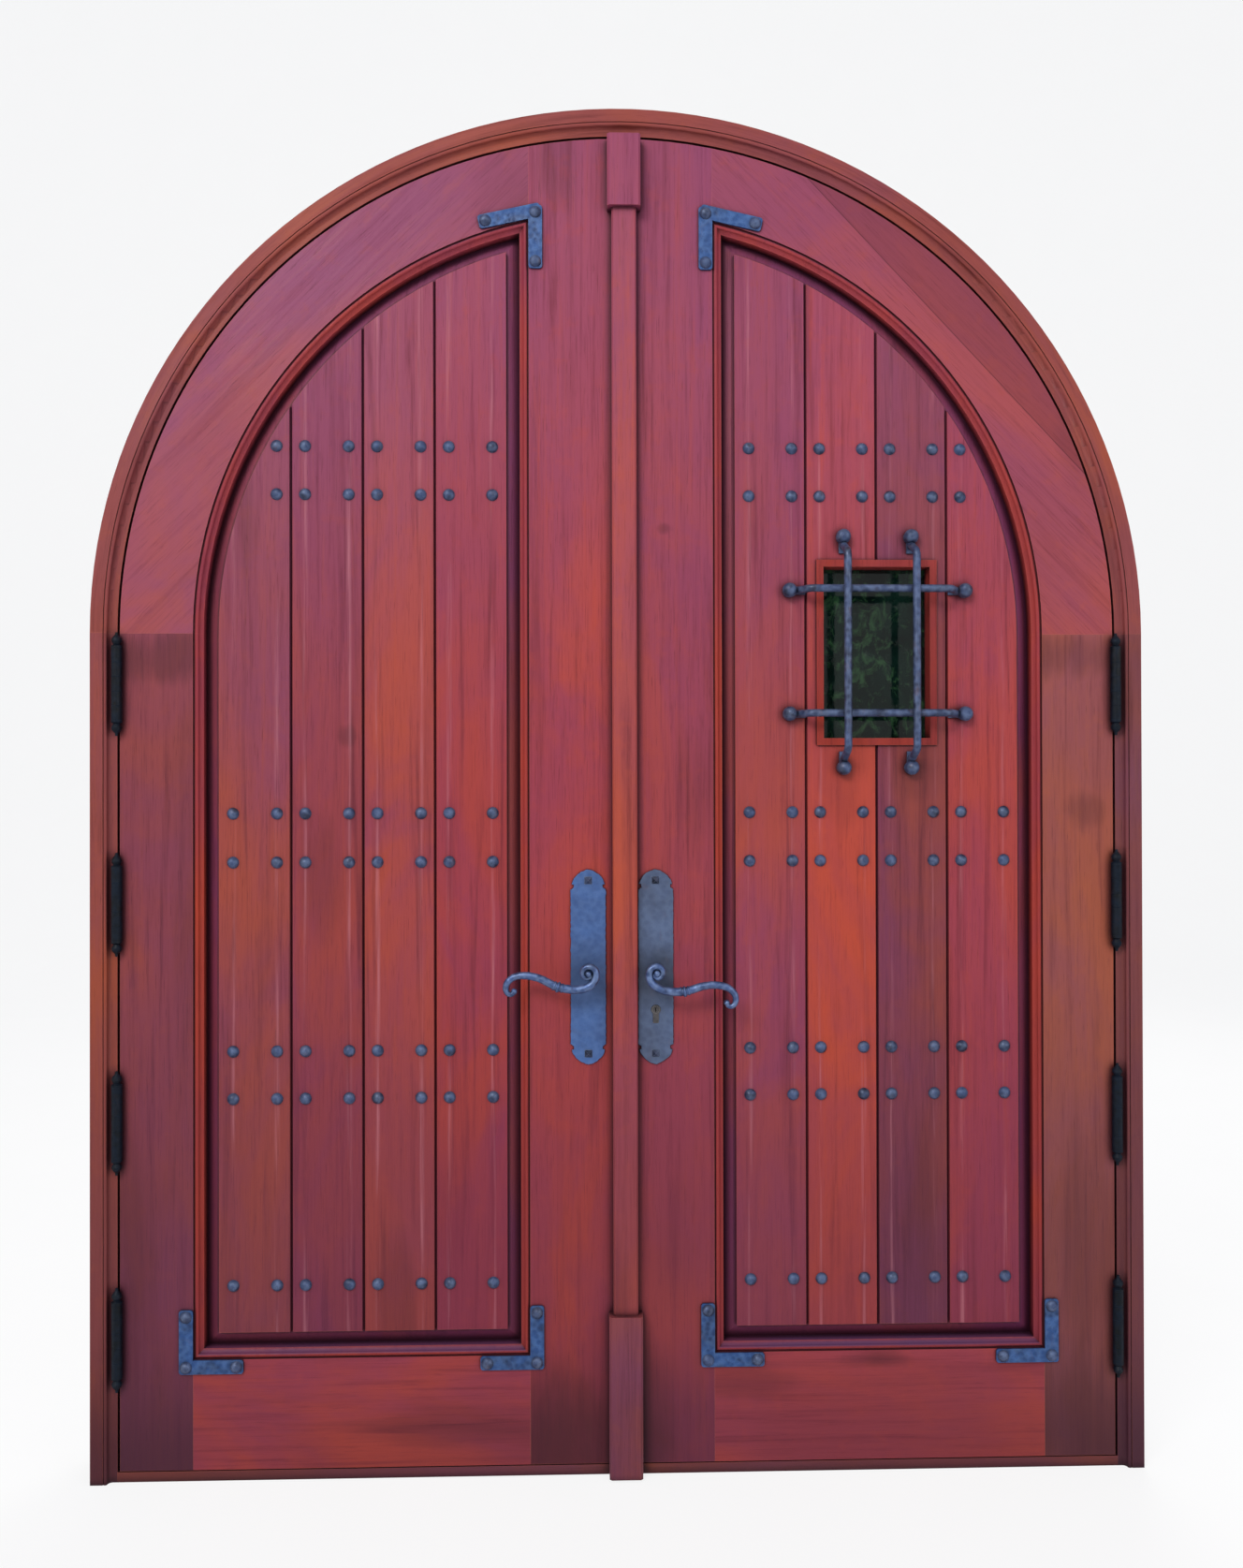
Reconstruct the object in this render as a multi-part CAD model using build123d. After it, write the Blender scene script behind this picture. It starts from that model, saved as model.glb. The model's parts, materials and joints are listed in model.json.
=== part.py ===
from build123d import *
import os
from math import asin, atan2, cos, degrees, radians, sin, sqrt

# Arched double entry door with its frame. Millimetres.
# Origin: bottom centre of the frame, halfway through its depth.
# +X is to the right as seen from outside, +Y runs into the building, +Z is up.
# The right leaf is the active one. The left leaf mirrors its wooden pieces.

# Leaves
LEAF_WIDTH = 913.0
LEAF_HEIGHT = 2438.0
LEAF_THICKNESS = 57.0
LEAF_BOTTOM_Z = 20.0
MEETING_GAP = 3.0
MEETING_BEVEL = 3.0
HINGE_STILE_WIDTH = 132.0
LOCK_STILE_WIDTH = 168.0
BOTTOM_RAIL_HEIGHT = 200.0
TENON_LENGTH = 70.0
TENON_THICKNESS = 18.0
TENON_HEIGHT = 120.0

# Frame
JAMB_GAP = 4.5
FRAME_FACE_WIDTH = 46.0
FRAME_DEPTH = 133.0
FACE_STEP = 10.0
FLAT_BAND_WIDTH = 23.0
BEAD_WIDTH = 7.0
COVE_WIDTH = 8.0
BEAD_QUIRK = 2.0
STOP_HEIGHT = 16.0
SEAL_SPACE = 3.0
SEAL_RELIEF = 0.3
SEAL_WIDTH = 10.0
THRESHOLD_HEIGHT = 18.0
THRESHOLD_UPSTAND = 12.0
FIXING_HOLE_RADIUS = 4.0
FIXING_HEIGHTS = (200.0, 800.0, 1400.0)
FIXING_INSET = 32.0

# Panel of each leaf, as depths below the face of the leaf and insets from its sight line
FIELD_DEPTH = 15.0
BOARD_THICKNESS = 8.0
BEVEL_DROP = 8.0
PANEL_EDGE = 11.0
MOULDING_WIDTH = 17.0
BEVEL_WIDTH = 20.0
LEDGE_WIDTH = 5.5
INNER_MOULDING_WIDTH = 14.0
INNER_MOULDING_SETBACK = 1.0
MITRE_REACH = 2.0
QUIRK = 2.0
BEAD_SHARE = 0.6
BEAD_SETBACK = 0.3
BEAD_FLAT_COUNT = 8
HOLLOW_MIDDLE = 0.72
HOLLOW_DEPTH = 0.42
HOLLOW_END_DEPTH = 0.6
HOLLOW_FLAT_COUNT = 5
GROOVE_DEPTH = 12.0
PANEL_PLAY = 1.0
BOARD_COUNT = 4
V_GROOVE_WIDTH = 6.0
V_GROOVE_DEPTH = 5.0

# Round-headed nails on the boards and rivets of the corner straps
CLAVO_RADIUS = 11.0
CLAVO_RISE = 8.0
CLAVO_SHANK_RADIUS = 3.0
CLAVO_SHANK_LENGTH = 13.0
CLAVO_OFFSET = 40.0
CLAVO_LOW_SPACINGS = (328.0, 670.0, 757.0, 1104.0, 1194.0, 1523.5)
CLAVO_TOP_RISES = (258.5, 347.5)

# Corner straps
STRAP_WIDTH = 25.0
STRAP_LENGTH = 116.0
STRAP_THICKNESS = 4.0

# Hinges
HINGE_TOP_DROP = 93.5
HINGE_BOTTOM_RISE = 242.0
HINGE_SPACINGS = (0.0, 392.0, 788.0, 1188.0)
BARREL_RADIUS = 9.5
BARREL_LENGTH = 132.0
BARREL_FACE_GAP = 0.5
KNUCKLE_COUNT = 5
KNUCKLE_GAP = 0.4
PIN_RADIUS = 4.0
PIN_CLEARANCE = 0.05
FINIAL_HEIGHT = 28.0
PLATE_THICKNESS = 2.5
PLATE_DEPTH = 45.0

# Astragal on the right leaf, covering the seam
ASTRAGAL_OVERLAP = 17.0
ASTRAGAL_WIDTH = 45.0
ASTRAGAL_THICKNESS = 21.0
ASTRAGAL_RELIEF = 0.5
BLOCK_EXTRA = 8.0
BLOCK_THICKNESS = 31.0
TOP_BLOCK_HEIGHT = 131.0
TOP_BLOCK_DROP = 4.0
BOTTOM_BLOCK_TOP_Z = 298.0
BOTTOM_BLOCK_Z = 4.0

# Window in the right leaf
WINDOW_DROP = 32.5
WINDOW_SIGHT_WIDTH = 199.0
WINDOW_SIGHT_HEIGHT = 319.0
CASING_WALL = 10.0
CASING_LIP = 3.0
CASING_LIP_THICKNESS = 5.0
PANE_DEPTH = 49.0
PANE_THICKNESS = 4.0
PANE_REBATE = 4.0
PANE_PLAY = 1.0

# Grille over the window
BAR_RADIUS = 7.0
BAR_STANDOFF = 38.0
BAR_CROSS_GAP = 0.2
UPRIGHT_BAR_SPACING = 126.6
UPRIGHT_BAR_LENGTH = 429.0
LEVEL_BAR_SPACING = 229.0
LEVEL_BAR_LENGTH = 327.5
BAR_BEND_RUN = 34.0
BAR_BEND_RADIUS = 16.0
FOOT_RADIUS = 12.0
FOOT_THICKNESS = 5.0
FOOT_TONGUE = 30.0
RIVET_BALL_RADIUS = 13.5
RIVET_BALL_SEAT = 0.6
RIVET_BALL_GAP = 0.3
RIVET_SHANK_RADIUS = 4.0
RIVET_SHANK_LENGTH = 16.0

# Escutcheons, levers and lock
BACKSET_X = 62.0
SPINDLE_Z = 924.0
CYLINDER_DROP = 72.0
ESCUTCHEON_HEIGHT = 358.0
ESCUTCHEON_WIDTH = 65.0
ESCUTCHEON_THICKNESS = 3.0
ESCUTCHEON_CENTRE_Z = 931.0
ESCUTCHEON_LOBE_RADIUS = 31.0
ESCUTCHEON_NOTCH_RADIUS = 3.0
SCREW_INSET = 20.0
SCREW_HEAD_WIDTH = 14.0
SCREW_HEAD_RISE = 8.0
SCREW_RADIUS = 2.5
SCREW_LENGTH = 20.0
NECK_RADIUS = 9.0
NECK_CLEARANCE = 0.05
NECK_SEAT = 10.0
LEVER_STANDOFF = 45.0
LEVER_RADIUS = 6.5
SCROLL_RADIUS = 16.0
SCROLL_THICKNESS = 12.0
LEVER_PATH = ((-10.0, -12.0), (3.0, -31.0), (50.0, -33.0), (95.0, -21.0), (136.0, -27.0), (142.0, -52.0))
LEVER_BEND_RADIUS = 10.0
LEVER_COLLAR_AT = (50.0, -33.0)
LEVER_COLLAR_RADIUS = 8.5
LEVER_COLLAR_LENGTH = 14.0
LEFT_LEVER_LIFT = 10.0
SPINDLE_SIDE = 8.0
SPINDLE_HOLE_RADIUS = 7.0
CASE_LENGTH = 88.0
CASE_HEIGHT = 205.0
CASE_CENTRE_Z = 892.0
CASE_THICKNESS = 18.0
CASE_WALL = 2.0
FOREND_SETBACK = 4.0
FOREND_THICKNESS = 3.0
FOREND_HEIGHT = 235.0
FOREND_WIDTH = 22.0
LATCH_RISE = 24.0
LATCH_REACH = 12.0
BOLT_DROP = 46.0
BOLT_HEIGHT = 28.0
BOLT_THICKNESS = 12.0
BOLT_TAIL = 38.0
BOLT_CLEARANCE = 0.3
POCKET_DEPTH = 24.0
POCKET_CLEARANCE = 2.0
POCKET_SWING_CLEARANCE = 6.0
PLUG_RADIUS = 6.5
PLUG_CLEARANCE = 0.05
CYLINDER_RADIUS = 8.5
CYLINDER_TAIL_WIDTH = 10.0
CYLINDER_TAIL_DROP = 24.5
CYLINDER_PROUD = 1.0
KEYWAY_WIDTH = 2.0
KEYWAY_HEIGHT = 9.0
KEYWAY_DEPTH = 20.0
THUMB_TURN_LENGTH = 16.0
THUMB_TURN_WIDTH = 26.0
THUMB_TURN_THICKNESS = 8.0

# Shoot bolts of the left leaf
ROD_X = 84.0
ROD_RADIUS = 5.0
ROD_CLEARANCE = 0.08
ROD_THROW = 15.0
ROD_SETBACK = 2.0
ROD_IN_CASE = 15.0
GEAR_SETBACK = 28.0
GEAR_LENGTH = 72.0
GEAR_HEIGHT = 150.0
KEEP_CLEARANCE = 0.6
KEEP_DEPTH = 20.0

# Worked out from the sizes above
LEAF_RADIUS = LEAF_WIDTH + MEETING_GAP / 2
SPRING_Z = LEAF_BOTTOM_Z + LEAF_HEIGHT - LEAF_RADIUS
OPENING_RADIUS = LEAF_RADIUS + JAMB_GAP
FRAME_RADIUS = OPENING_RADIUS + FRAME_FACE_WIDTH
STOP_RADIUS = OPENING_RADIUS - STOP_HEIGHT
FRONT_Y = -FRAME_DEPTH / 2
BACK_Y = FRAME_DEPTH / 2
FACE_Y = FRONT_Y + FACE_STEP
LEAF_BACK_Y = FACE_Y + LEAF_THICKNESS
STOP_Y = LEAF_BACK_Y + SEAL_SPACE
MIDDLE_Y = (FACE_Y + LEAF_BACK_Y) / 2
SIGHT_IN = MEETING_GAP / 2 + LOCK_STILE_WIDTH
SIGHT_RADIUS = LEAF_RADIUS - HINGE_STILE_WIDTH
SIGHT_BOTTOM_Z = LEAF_BOTTOM_Z + BOTTOM_RAIL_HEIGHT
STRAP_Y = FACE_Y - STRAP_THICKNESS
FIELD_INSET = MOULDING_WIDTH + BEVEL_WIDTH + LEDGE_WIDTH
FIELD_Y = FACE_Y + FIELD_DEPTH
BOARD_BACK_Y = FIELD_Y + BOARD_THICKNESS
BEVEL_FOOT_Y = BOARD_BACK_Y + BEVEL_DROP
PANEL_BACK_Y = BEVEL_FOOT_Y + PANEL_EDGE
FIELD_IN = SIGHT_IN + FIELD_INSET
FIELD_RADIUS = SIGHT_RADIUS - FIELD_INSET
BOARD_WIDTH = (FIELD_RADIUS - FIELD_IN) / BOARD_COUNT
WINDOW_X = FIELD_IN + BOARD_WIDTH * BOARD_COUNT / 2
HINGE_X = LEAF_RADIUS + JAMB_GAP / 2
HINGE_Y = FACE_Y - BARREL_RADIUS - BARREL_FACE_GAP
hinge_low = LEAF_BOTTOM_Z + HINGE_BOTTOM_RISE
hinge_reach = (SPRING_Z - HINGE_TOP_DROP - hinge_low) / HINGE_SPACINGS[-1]
HINGE_HEIGHTS = [hinge_low + hinge_reach * spacing for spacing in HINGE_SPACINGS]
clavo_reach = (SPRING_Z - LEAF_BOTTOM_Z) / CLAVO_LOW_SPACINGS[-1]
CLAVO_LOW_ROWS = [LEAF_BOTTOM_Z + clavo_reach * spacing for spacing in CLAVO_LOW_SPACINGS[:-1]]
CLAVO_TOP_ROWS = [SPRING_Z + rise for rise in CLAVO_TOP_RISES]
WINDOW_Z = SPRING_Z - WINDOW_DROP
CYLINDER_Z = SPINDLE_Z - CYLINDER_DROP
LATCH_Z = SPINDLE_Z + LATCH_RISE
BOLT_Z = SPINDLE_Z - BOLT_DROP
FOREND_BACK_X = FOREND_SETBACK + FOREND_THICKNESS


def block(x0, x1, y0, y1, z0, z1):
    """Box between two corners."""
    low = Align.MIN
    return Pos(x0, y0, z0) * Box(x1 - x0, y1 - y0, z1 - z0, align=(low, low, low))


def slab(outline, y_front, y_back):
    """Flat outline drawn as (x, z), given thickness between two depths."""
    return Pos(0, y_back, 0) * Rot(90, 0, 0) * extrude(outline, amount=y_back - y_front)


def polygon(points):
    """Flat face through points in the XY plane."""
    return make_face(Polyline(*points, close=True))


def rod_y(radius, x, z, y_front, y_back):
    """Round rod along Y."""
    return Pos(x, (y_front + y_back) / 2, z) * Rot(90, 0, 0) * Cylinder(radius, y_back - y_front)


def rod_z(radius, x, y, z0, z1):
    """Round rod along Z."""
    return Pos(x, y, (z0 + z1) / 2) * Cylinder(radius, z1 - z0)


def flip(shape):
    """The same piece on the other side of the seam."""
    return mirror(shape, about=Plane.YZ)


def group(pieces):
    """Separate solids of one kind, kept together."""
    return Compound(children=list(pieces))


def arc_top(radius, x):
    """Height of the arch of a given radius above a given x."""
    return SPRING_Z + sqrt(radius**2 - x**2)


def arched_outline(left, radius, bottom):
    """Face with an upright inner side, a level bottom and a quarter arch on its outer side."""
    end = asin(sqrt(radius**2 - left**2) / radius)
    top = (left, arc_top(radius, left))
    middle = (radius * cos(end / 2), SPRING_Z + radius * sin(end / 2))
    edges = [
        Edge.make_line((left, bottom), (radius, bottom)),
        Edge.make_line((radius, bottom), (radius, SPRING_Z)),
        Edge.make_three_point_arc((radius, SPRING_Z), middle, top),
        Edge.make_line(top, (left, bottom)),
    ]
    return Face(Wire(edges))


def panel_outline(inset):
    """Sight opening of the right leaf, made smaller by an inset all round."""
    return arched_outline(SIGHT_IN + inset, SIGHT_RADIUS - inset, SIGHT_BOTTOM_Z + inset)


# Frame

def frame_section():
    """Section of jamb and head: x is the distance from the arch's centre, y the depth."""
    band_end = FRAME_RADIUS - FLAT_BAND_WIDTH
    bead_end = band_end - BEAD_WIDTH
    cove_end = bead_end - COVE_WIDTH
    shoulder_y = FRONT_Y + BEAD_QUIRK
    turn = cos(radians(45))
    cove_bend = (cove_end + COVE_WIDTH * turn, FACE_Y - (FACE_Y - shoulder_y) * (1 - turn))
    lines = [
        Edge.make_line((FRAME_RADIUS, BACK_Y), (FRAME_RADIUS, FRONT_Y)),
        Edge.make_line((FRAME_RADIUS, FRONT_Y), (band_end, FRONT_Y)),
        Edge.make_line((band_end, FRONT_Y), (band_end, shoulder_y)),
        Edge.make_three_point_arc(
            (band_end, shoulder_y), ((band_end + bead_end) / 2, FRONT_Y), (bead_end, shoulder_y)
        ),
        Edge.make_three_point_arc((bead_end, shoulder_y), cove_bend, (cove_end, FACE_Y)),
        Edge.make_line((cove_end, FACE_Y), (OPENING_RADIUS, FACE_Y)),
        Edge.make_line((OPENING_RADIUS, FACE_Y), (OPENING_RADIUS, STOP_Y)),
        Edge.make_line((OPENING_RADIUS, STOP_Y), (STOP_RADIUS, STOP_Y)),
        Edge.make_line((STOP_RADIUS, STOP_Y), (STOP_RADIUS, BACK_Y)),
        Edge.make_line((STOP_RADIUS, BACK_Y), (FRAME_RADIUS, BACK_Y)),
    ]
    return Face(Wire(lines))


def right_jamb():
    """Straight leg of the frame, with mortises for the hinge plates and fixing holes."""
    jamb = extrude(frame_section(), amount=SPRING_Z, dir=(0, 0, 1))
    for z in HINGE_HEIGHTS:
        jamb -= block(
            OPENING_RADIUS, OPENING_RADIUS + PLATE_THICKNESS, FACE_Y, HINGE_Y + PLATE_DEPTH,
            z - BARREL_LENGTH / 2, z + BARREL_LENGTH / 2,
        )
    for z in FIXING_HEIGHTS:
        hole = Pos((STOP_RADIUS + FRAME_RADIUS) / 2, BACK_Y - FIXING_INSET, z) * Rot(0, 90, 0)
        jamb -= hole * Cylinder(FIXING_HOLE_RADIUS, FRAME_RADIUS)
    return jamb


def arched_head():
    """Half-round head on the two legs, with the keep of the top shoot bolt."""
    section = Pos(0, 0, SPRING_Z) * frame_section()
    head = revolve(section, axis=Axis((0, 0, SPRING_Z), (0, -1, 0)), revolution_arc=180)
    keep_z = arc_top(OPENING_RADIUS, ROD_X)
    keep = rod_z(ROD_RADIUS + KEEP_CLEARANCE, -ROD_X, MIDDLE_Y, keep_z - KEEP_DEPTH / 2, keep_z + KEEP_DEPTH)
    return head - keep


def threshold():
    """Wooden sill between the legs, with an upstand behind the leaves."""
    sill = block(-OPENING_RADIUS, OPENING_RADIUS, FACE_Y, STOP_Y, 0, THRESHOLD_HEIGHT)
    top = THRESHOLD_HEIGHT + THRESHOLD_UPSTAND
    sill += block(-STOP_RADIUS, STOP_RADIUS, STOP_Y, BACK_Y, 0, top)
    keep_low = THRESHOLD_HEIGHT - ROD_THROW + ROD_SETBACK - 1
    return sill - rod_z(ROD_RADIUS + KEEP_CLEARANCE, -ROD_X, MIDDLE_Y, keep_low, THRESHOLD_HEIGHT + 1)


def weatherstrip():
    """Seal in front of the stop, all round the opening."""
    front = LEAF_BACK_Y + SEAL_RELIEF
    outer = STOP_RADIUS + SEAL_WIDTH
    low = THRESHOLD_HEIGHT
    half = slab(arched_outline(0, outer, low), front, STOP_Y)
    half -= slab(arched_outline(0, STOP_RADIUS, low + THRESHOLD_UPSTAND), front - 1, STOP_Y + 1)
    return half + flip(half)


# Hinges

def knuckle_spans(z, fixed):
    """Heights of the knuckles of the frame plate, or of the leaf plate between them."""
    pitch = BARREL_LENGTH / KNUCKLE_COUNT
    first = 0 if fixed else 1
    for index in range(first, KNUCKLE_COUNT, 2):
        low = z - BARREL_LENGTH / 2 + index * pitch
        yield low + KNUCKLE_GAP / 2, low + pitch - KNUCKLE_GAP / 2


def hinge_plate(z, fixed):
    """Half of a hinge on the right side: a plate let into the wood, and its knuckles."""
    if fixed:
        x0, x1 = OPENING_RADIUS, OPENING_RADIUS + PLATE_THICKNESS
    else:
        x0, x1 = LEAF_RADIUS - PLATE_THICKNESS, LEAF_RADIUS
    half = BARREL_LENGTH / 2
    plate = block(x0, x1, FACE_Y, HINGE_Y + PLATE_DEPTH, z - half, z + half)
    for low, high in knuckle_spans(z, fixed):
        plate += rod_z(BARREL_RADIUS, HINGE_X, HINGE_Y, low, high)
        plate += block(x0, x1, HINGE_Y, FACE_Y, low, high)
    return plate - rod_z(PIN_RADIUS + PIN_CLEARANCE, HINGE_X, HINGE_Y, z - half - 1, z + half + 1)


def finial():
    """Turned acorn on the end of a pin, standing on z = 0."""
    r = BARREL_RADIUS
    h = FINIAL_HEIGHT
    points = [(0, 0), (r, 0), (r, 0.12 * h), (0.6 * r, 0.22 * h), (0.95 * r, 0.45 * h), (0.85 * r, 0.62 * h)]
    points += [(0.3 * r, 0.85 * h), (0.28 * r, h), (0, h)]
    return revolve(Rot(90, 0, 0) * polygon(points), axis=Axis.Z)


def hinge_pin(z):
    """Pin through the knuckles with a finial on each end."""
    half = BARREL_LENGTH / 2
    pin = rod_z(PIN_RADIUS, HINGE_X, HINGE_Y, z - half, z + half)
    pin += Pos(HINGE_X, HINGE_Y, z + half) * finial()
    pin += Pos(HINGE_X, HINGE_Y, z - half) * Rot(180, 0, 0) * finial()
    return pin


def both_sides(make, *settings):
    """One piece at each hinge height of the right side, and its mirror image on the left."""
    right = [make(z, *settings) for z in HINGE_HEIGHTS]
    return group(right + [flip(piece) for piece in right])


# Wooden pieces of a leaf

def leaf_blank(x0, x1, z0, z1):
    """Part of the leaf's full thickness between upright and level cuts, under the arch."""
    outline = arched_outline(MEETING_GAP / 2, LEAF_RADIUS, LEAF_BOTTOM_Z)
    return slab(outline, FACE_Y, LEAF_BACK_Y) & block(x0, x1, FACE_Y, LEAF_BACK_Y, z0, z1)


def panel_groove():
    """Groove around the sight opening that takes the edge of the panel."""
    return slab(panel_outline(-GROOVE_DEPTH), BEVEL_FOOT_Y, PANEL_BACK_Y)


def tenon(x0, x1):
    """Tenon between the bottom rail and a stile."""
    middle = (LEAF_BOTTOM_Z + SIGHT_BOTTOM_Z - GROOVE_DEPTH) / 2
    half_y = TENON_THICKNESS / 2
    half_z = TENON_HEIGHT / 2
    return block(x0, x1, MIDDLE_Y - half_y, MIDDLE_Y + half_y, middle - half_z, middle + half_z)


def hinge_stile():
    """Upright on the hinge side, up to the spring line."""
    stile = block(SIGHT_RADIUS, LEAF_RADIUS, FACE_Y, LEAF_BACK_Y, LEAF_BOTTOM_Z, SPRING_Z)
    stile -= panel_groove()
    stile -= tenon(SIGHT_RADIUS, SIGHT_RADIUS + TENON_LENGTH)
    for z in HINGE_HEIGHTS:
        stile -= block(
            LEAF_RADIUS - PLATE_THICKNESS, LEAF_RADIUS, FACE_Y, HINGE_Y + PLATE_DEPTH,
            z - BARREL_LENGTH / 2, z + BARREL_LENGTH / 2,
        )
    return stile - strap_holes()


def lock_stile():
    """Upright beside the seam, full height under the arch, with a bevelled meeting edge."""
    stile = leaf_blank(0, SIGHT_IN, LEAF_BOTTOM_Z, LEAF_BOTTOM_Z + LEAF_HEIGHT)
    edge = MEETING_GAP / 2
    bevel = polygon([(edge, FACE_Y), (edge + MEETING_BEVEL, LEAF_BACK_Y), (edge, LEAF_BACK_Y)])
    stile -= extrude(bevel, amount=LEAF_BOTTOM_Z + LEAF_HEIGHT, dir=(0, 0, 1))
    stile -= panel_groove()
    stile -= tenon(SIGHT_IN - TENON_LENGTH, SIGHT_IN)
    stile -= strap_holes()
    for y0, y1 in ((FACE_Y, FACE_Y + NECK_SEAT), (LEAF_BACK_Y - NECK_SEAT, LEAF_BACK_Y)):
        stile -= rod_y(NECK_RADIUS + NECK_CLEARANCE, BACKSET_X, SPINDLE_Z, y0, y1)
    stile -= rod_y(SPINDLE_HOLE_RADIUS, BACKSET_X, SPINDLE_Z, FACE_Y, LEAF_BACK_Y)
    return stile - screw_holes()


def right_lock_stile():
    """Lock stile with the mortise of the lock case and the cut for the cylinder."""
    stile = lock_stile() - case_blank() - forend_blank()
    return stile - cylinder_profile(0, FACE_Y, LEAF_BACK_Y)


def left_lock_stile():
    """Lock stile with the strike, the bolt pockets, the gear case and the bores of the rods."""
    stile = flip(lock_stile()) - flip(forend_blank()) - gear_blank()
    stile -= bolt_pockets(FOREND_BACK_X + POCKET_DEPTH - FOREND_THICKNESS)
    bore = ROD_RADIUS + ROD_CLEARANCE
    stile -= rod_z(bore, -ROD_X, MIDDLE_Y, LEAF_BOTTOM_Z, SPINDLE_Z)
    return stile - rod_z(bore, -ROD_X, MIDDLE_Y, SPINDLE_Z, LEAF_BOTTOM_Z + LEAF_HEIGHT)


def arch_rail():
    """Curved rail from the hinge stile to the lock stile."""
    rail = leaf_blank(SIGHT_IN, LEAF_RADIUS, SPRING_Z, LEAF_BOTTOM_Z + LEAF_HEIGHT)
    rail -= slab(panel_outline(0), FACE_Y, LEAF_BACK_Y)
    return rail - panel_groove() - strap_holes()


def bottom_rail():
    """Level rail between the stiles, with a tenon in each."""
    rail = block(SIGHT_IN, SIGHT_RADIUS, FACE_Y, LEAF_BACK_Y, LEAF_BOTTOM_Z, SIGHT_BOTTOM_Z)
    rail -= panel_groove()
    rail += tenon(SIGHT_IN - TENON_LENGTH, SIGHT_RADIUS + TENON_LENGTH)
    return rail - strap_holes()


def panel_back():
    """Backing panel: bevelled margin around the boards, edges held in the groove."""
    edge = slab(panel_outline(PANEL_PLAY - GROOVE_DEPTH), BEVEL_FOOT_Y, PANEL_BACK_Y)
    foot = Pos(0, BEVEL_FOOT_Y, 0) * Rot(90, 0, 0) * panel_outline(MOULDING_WIDTH)
    crest = Pos(0, BOARD_BACK_Y, 0) * Rot(90, 0, 0) * panel_outline(MOULDING_WIDTH + BEVEL_WIDTH)
    return edge + loft([foot, crest], ruled=True)


def board(index):
    """One upright board of the field, counted from the seam, with V grooves to its neighbours."""
    x0 = FIELD_IN + index * BOARD_WIDTH
    x1 = x0 + BOARD_WIDTH
    top = SPRING_Z + FIELD_RADIUS
    plank = slab(panel_outline(FIELD_INSET), FIELD_Y, BOARD_BACK_Y)
    plank &= block(x0, x1, FIELD_Y, BOARD_BACK_Y, 0, top)
    half = V_GROOVE_WIDTH / 2
    for x in (x0, x1):
        if FIELD_IN < x - 1 and x + 1 < FIELD_RADIUS:
            vee = polygon([(x - half, FIELD_Y), (x, FIELD_Y + V_GROOVE_DEPTH), (x + half, FIELD_Y)])
            plank -= extrude(vee, amount=top, dir=(0, 0, 1))
    return plank


def mitre_cut(points):
    """Wedge drawn as (x, z) that trims a moulding at a mitre, through the whole leaf."""
    return slab(polygon(points), FACE_Y - MITRE_REACH, LEAF_BACK_Y + MITRE_REACH)


def moulding_lengths(section, width):
    """Four mitred lengths of a moulding around the sight opening: side, arch, inner side, bottom."""
    xi, radius, zb, e = SIGHT_IN, SIGHT_RADIUS, SIGHT_BOTTOM_Z, MITRE_REACH
    zi = arc_top(radius, xi)
    fall = zi - arc_top(radius - width, xi + width)
    share = e / width
    high = (xi - e, zi + share * fall)
    low = (xi + width + e, zi - (1 + share) * fall)
    crown = SPRING_Z + radius + e
    outer_section = Pos(radius, 0, 0) * flip(section)

    side = extrude(Pos(0, 0, zb) * outer_section, amount=SPRING_Z - zb, dir=(0, 0, 1))
    side -= mitre_cut([(radius + e, zb - e), (radius - width - e, zb + width + e), (radius - width - e, zb - e)])

    arch = revolve(
        Pos(0, 0, SPRING_Z) * outer_section, axis=Axis((0, 0, SPRING_Z), (0, -1, 0)), revolution_arc=90
    )
    arch -= mitre_cut([low, high, (high[0], crown), (-e, crown), (-e, low[1])])

    inner = extrude(Pos(xi, 0, zb) * section, amount=zi - zb, dir=(0, 0, 1))
    inner -= mitre_cut([high, low, (low[0], crown), (high[0], crown)])
    inner -= mitre_cut([(xi - e, zb - e), (xi + width + e, zb + width + e), (xi + width + e, zb - e)])

    level = extrude(Pos(xi, 0, zb) * Rot(0, -90, 0) * section, amount=radius - xi, dir=(1, 0, 0))
    top = zb + width + e
    level -= mitre_cut([(xi - e, zb - e), (xi + width + e, top), (xi - e, top)])
    level -= mitre_cut([(radius + e, zb - e), (radius - width - e, top), (radius + e, top)])
    return [side, arch, inner, level]


def flats(start, middle, end, count):
    """Points along an arc, so that it is drawn as short flats within 0.1 mm of the curve."""
    arc = Edge.make_three_point_arc(start, middle, end)
    marks = [arc.position_at(k / count) for k in range(count + 1)]
    return [(mark.X, mark.Y) for mark in marks]


def moulding_section():
    """Outer moulding: quirk, bead and hollow, from the sight line inwards."""
    w = MOULDING_WIDTH
    quirk_y = FACE_Y + 2 * QUIRK
    bead_end = BEAD_SHARE * w
    bead_top = ((QUIRK + bead_end) / 2, FACE_Y + BEAD_SETBACK)
    hollow_middle = (HOLLOW_MIDDLE * w, FACE_Y + HOLLOW_DEPTH * FIELD_DEPTH)
    hollow_end = (w, FACE_Y + HOLLOW_END_DEPTH * FIELD_DEPTH)
    bead = flats((QUIRK, quirk_y), bead_top, (bead_end, quirk_y), BEAD_FLAT_COUNT)
    hollow = flats((bead_end, quirk_y), hollow_middle, hollow_end, HOLLOW_FLAT_COUNT)
    points = [(0, BEVEL_FOOT_Y), (0, quirk_y), *bead, *hollow[1:], (w, BEVEL_FOOT_Y)]
    return Face(Wire(Polyline(*points, close=True).edges()))


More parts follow.
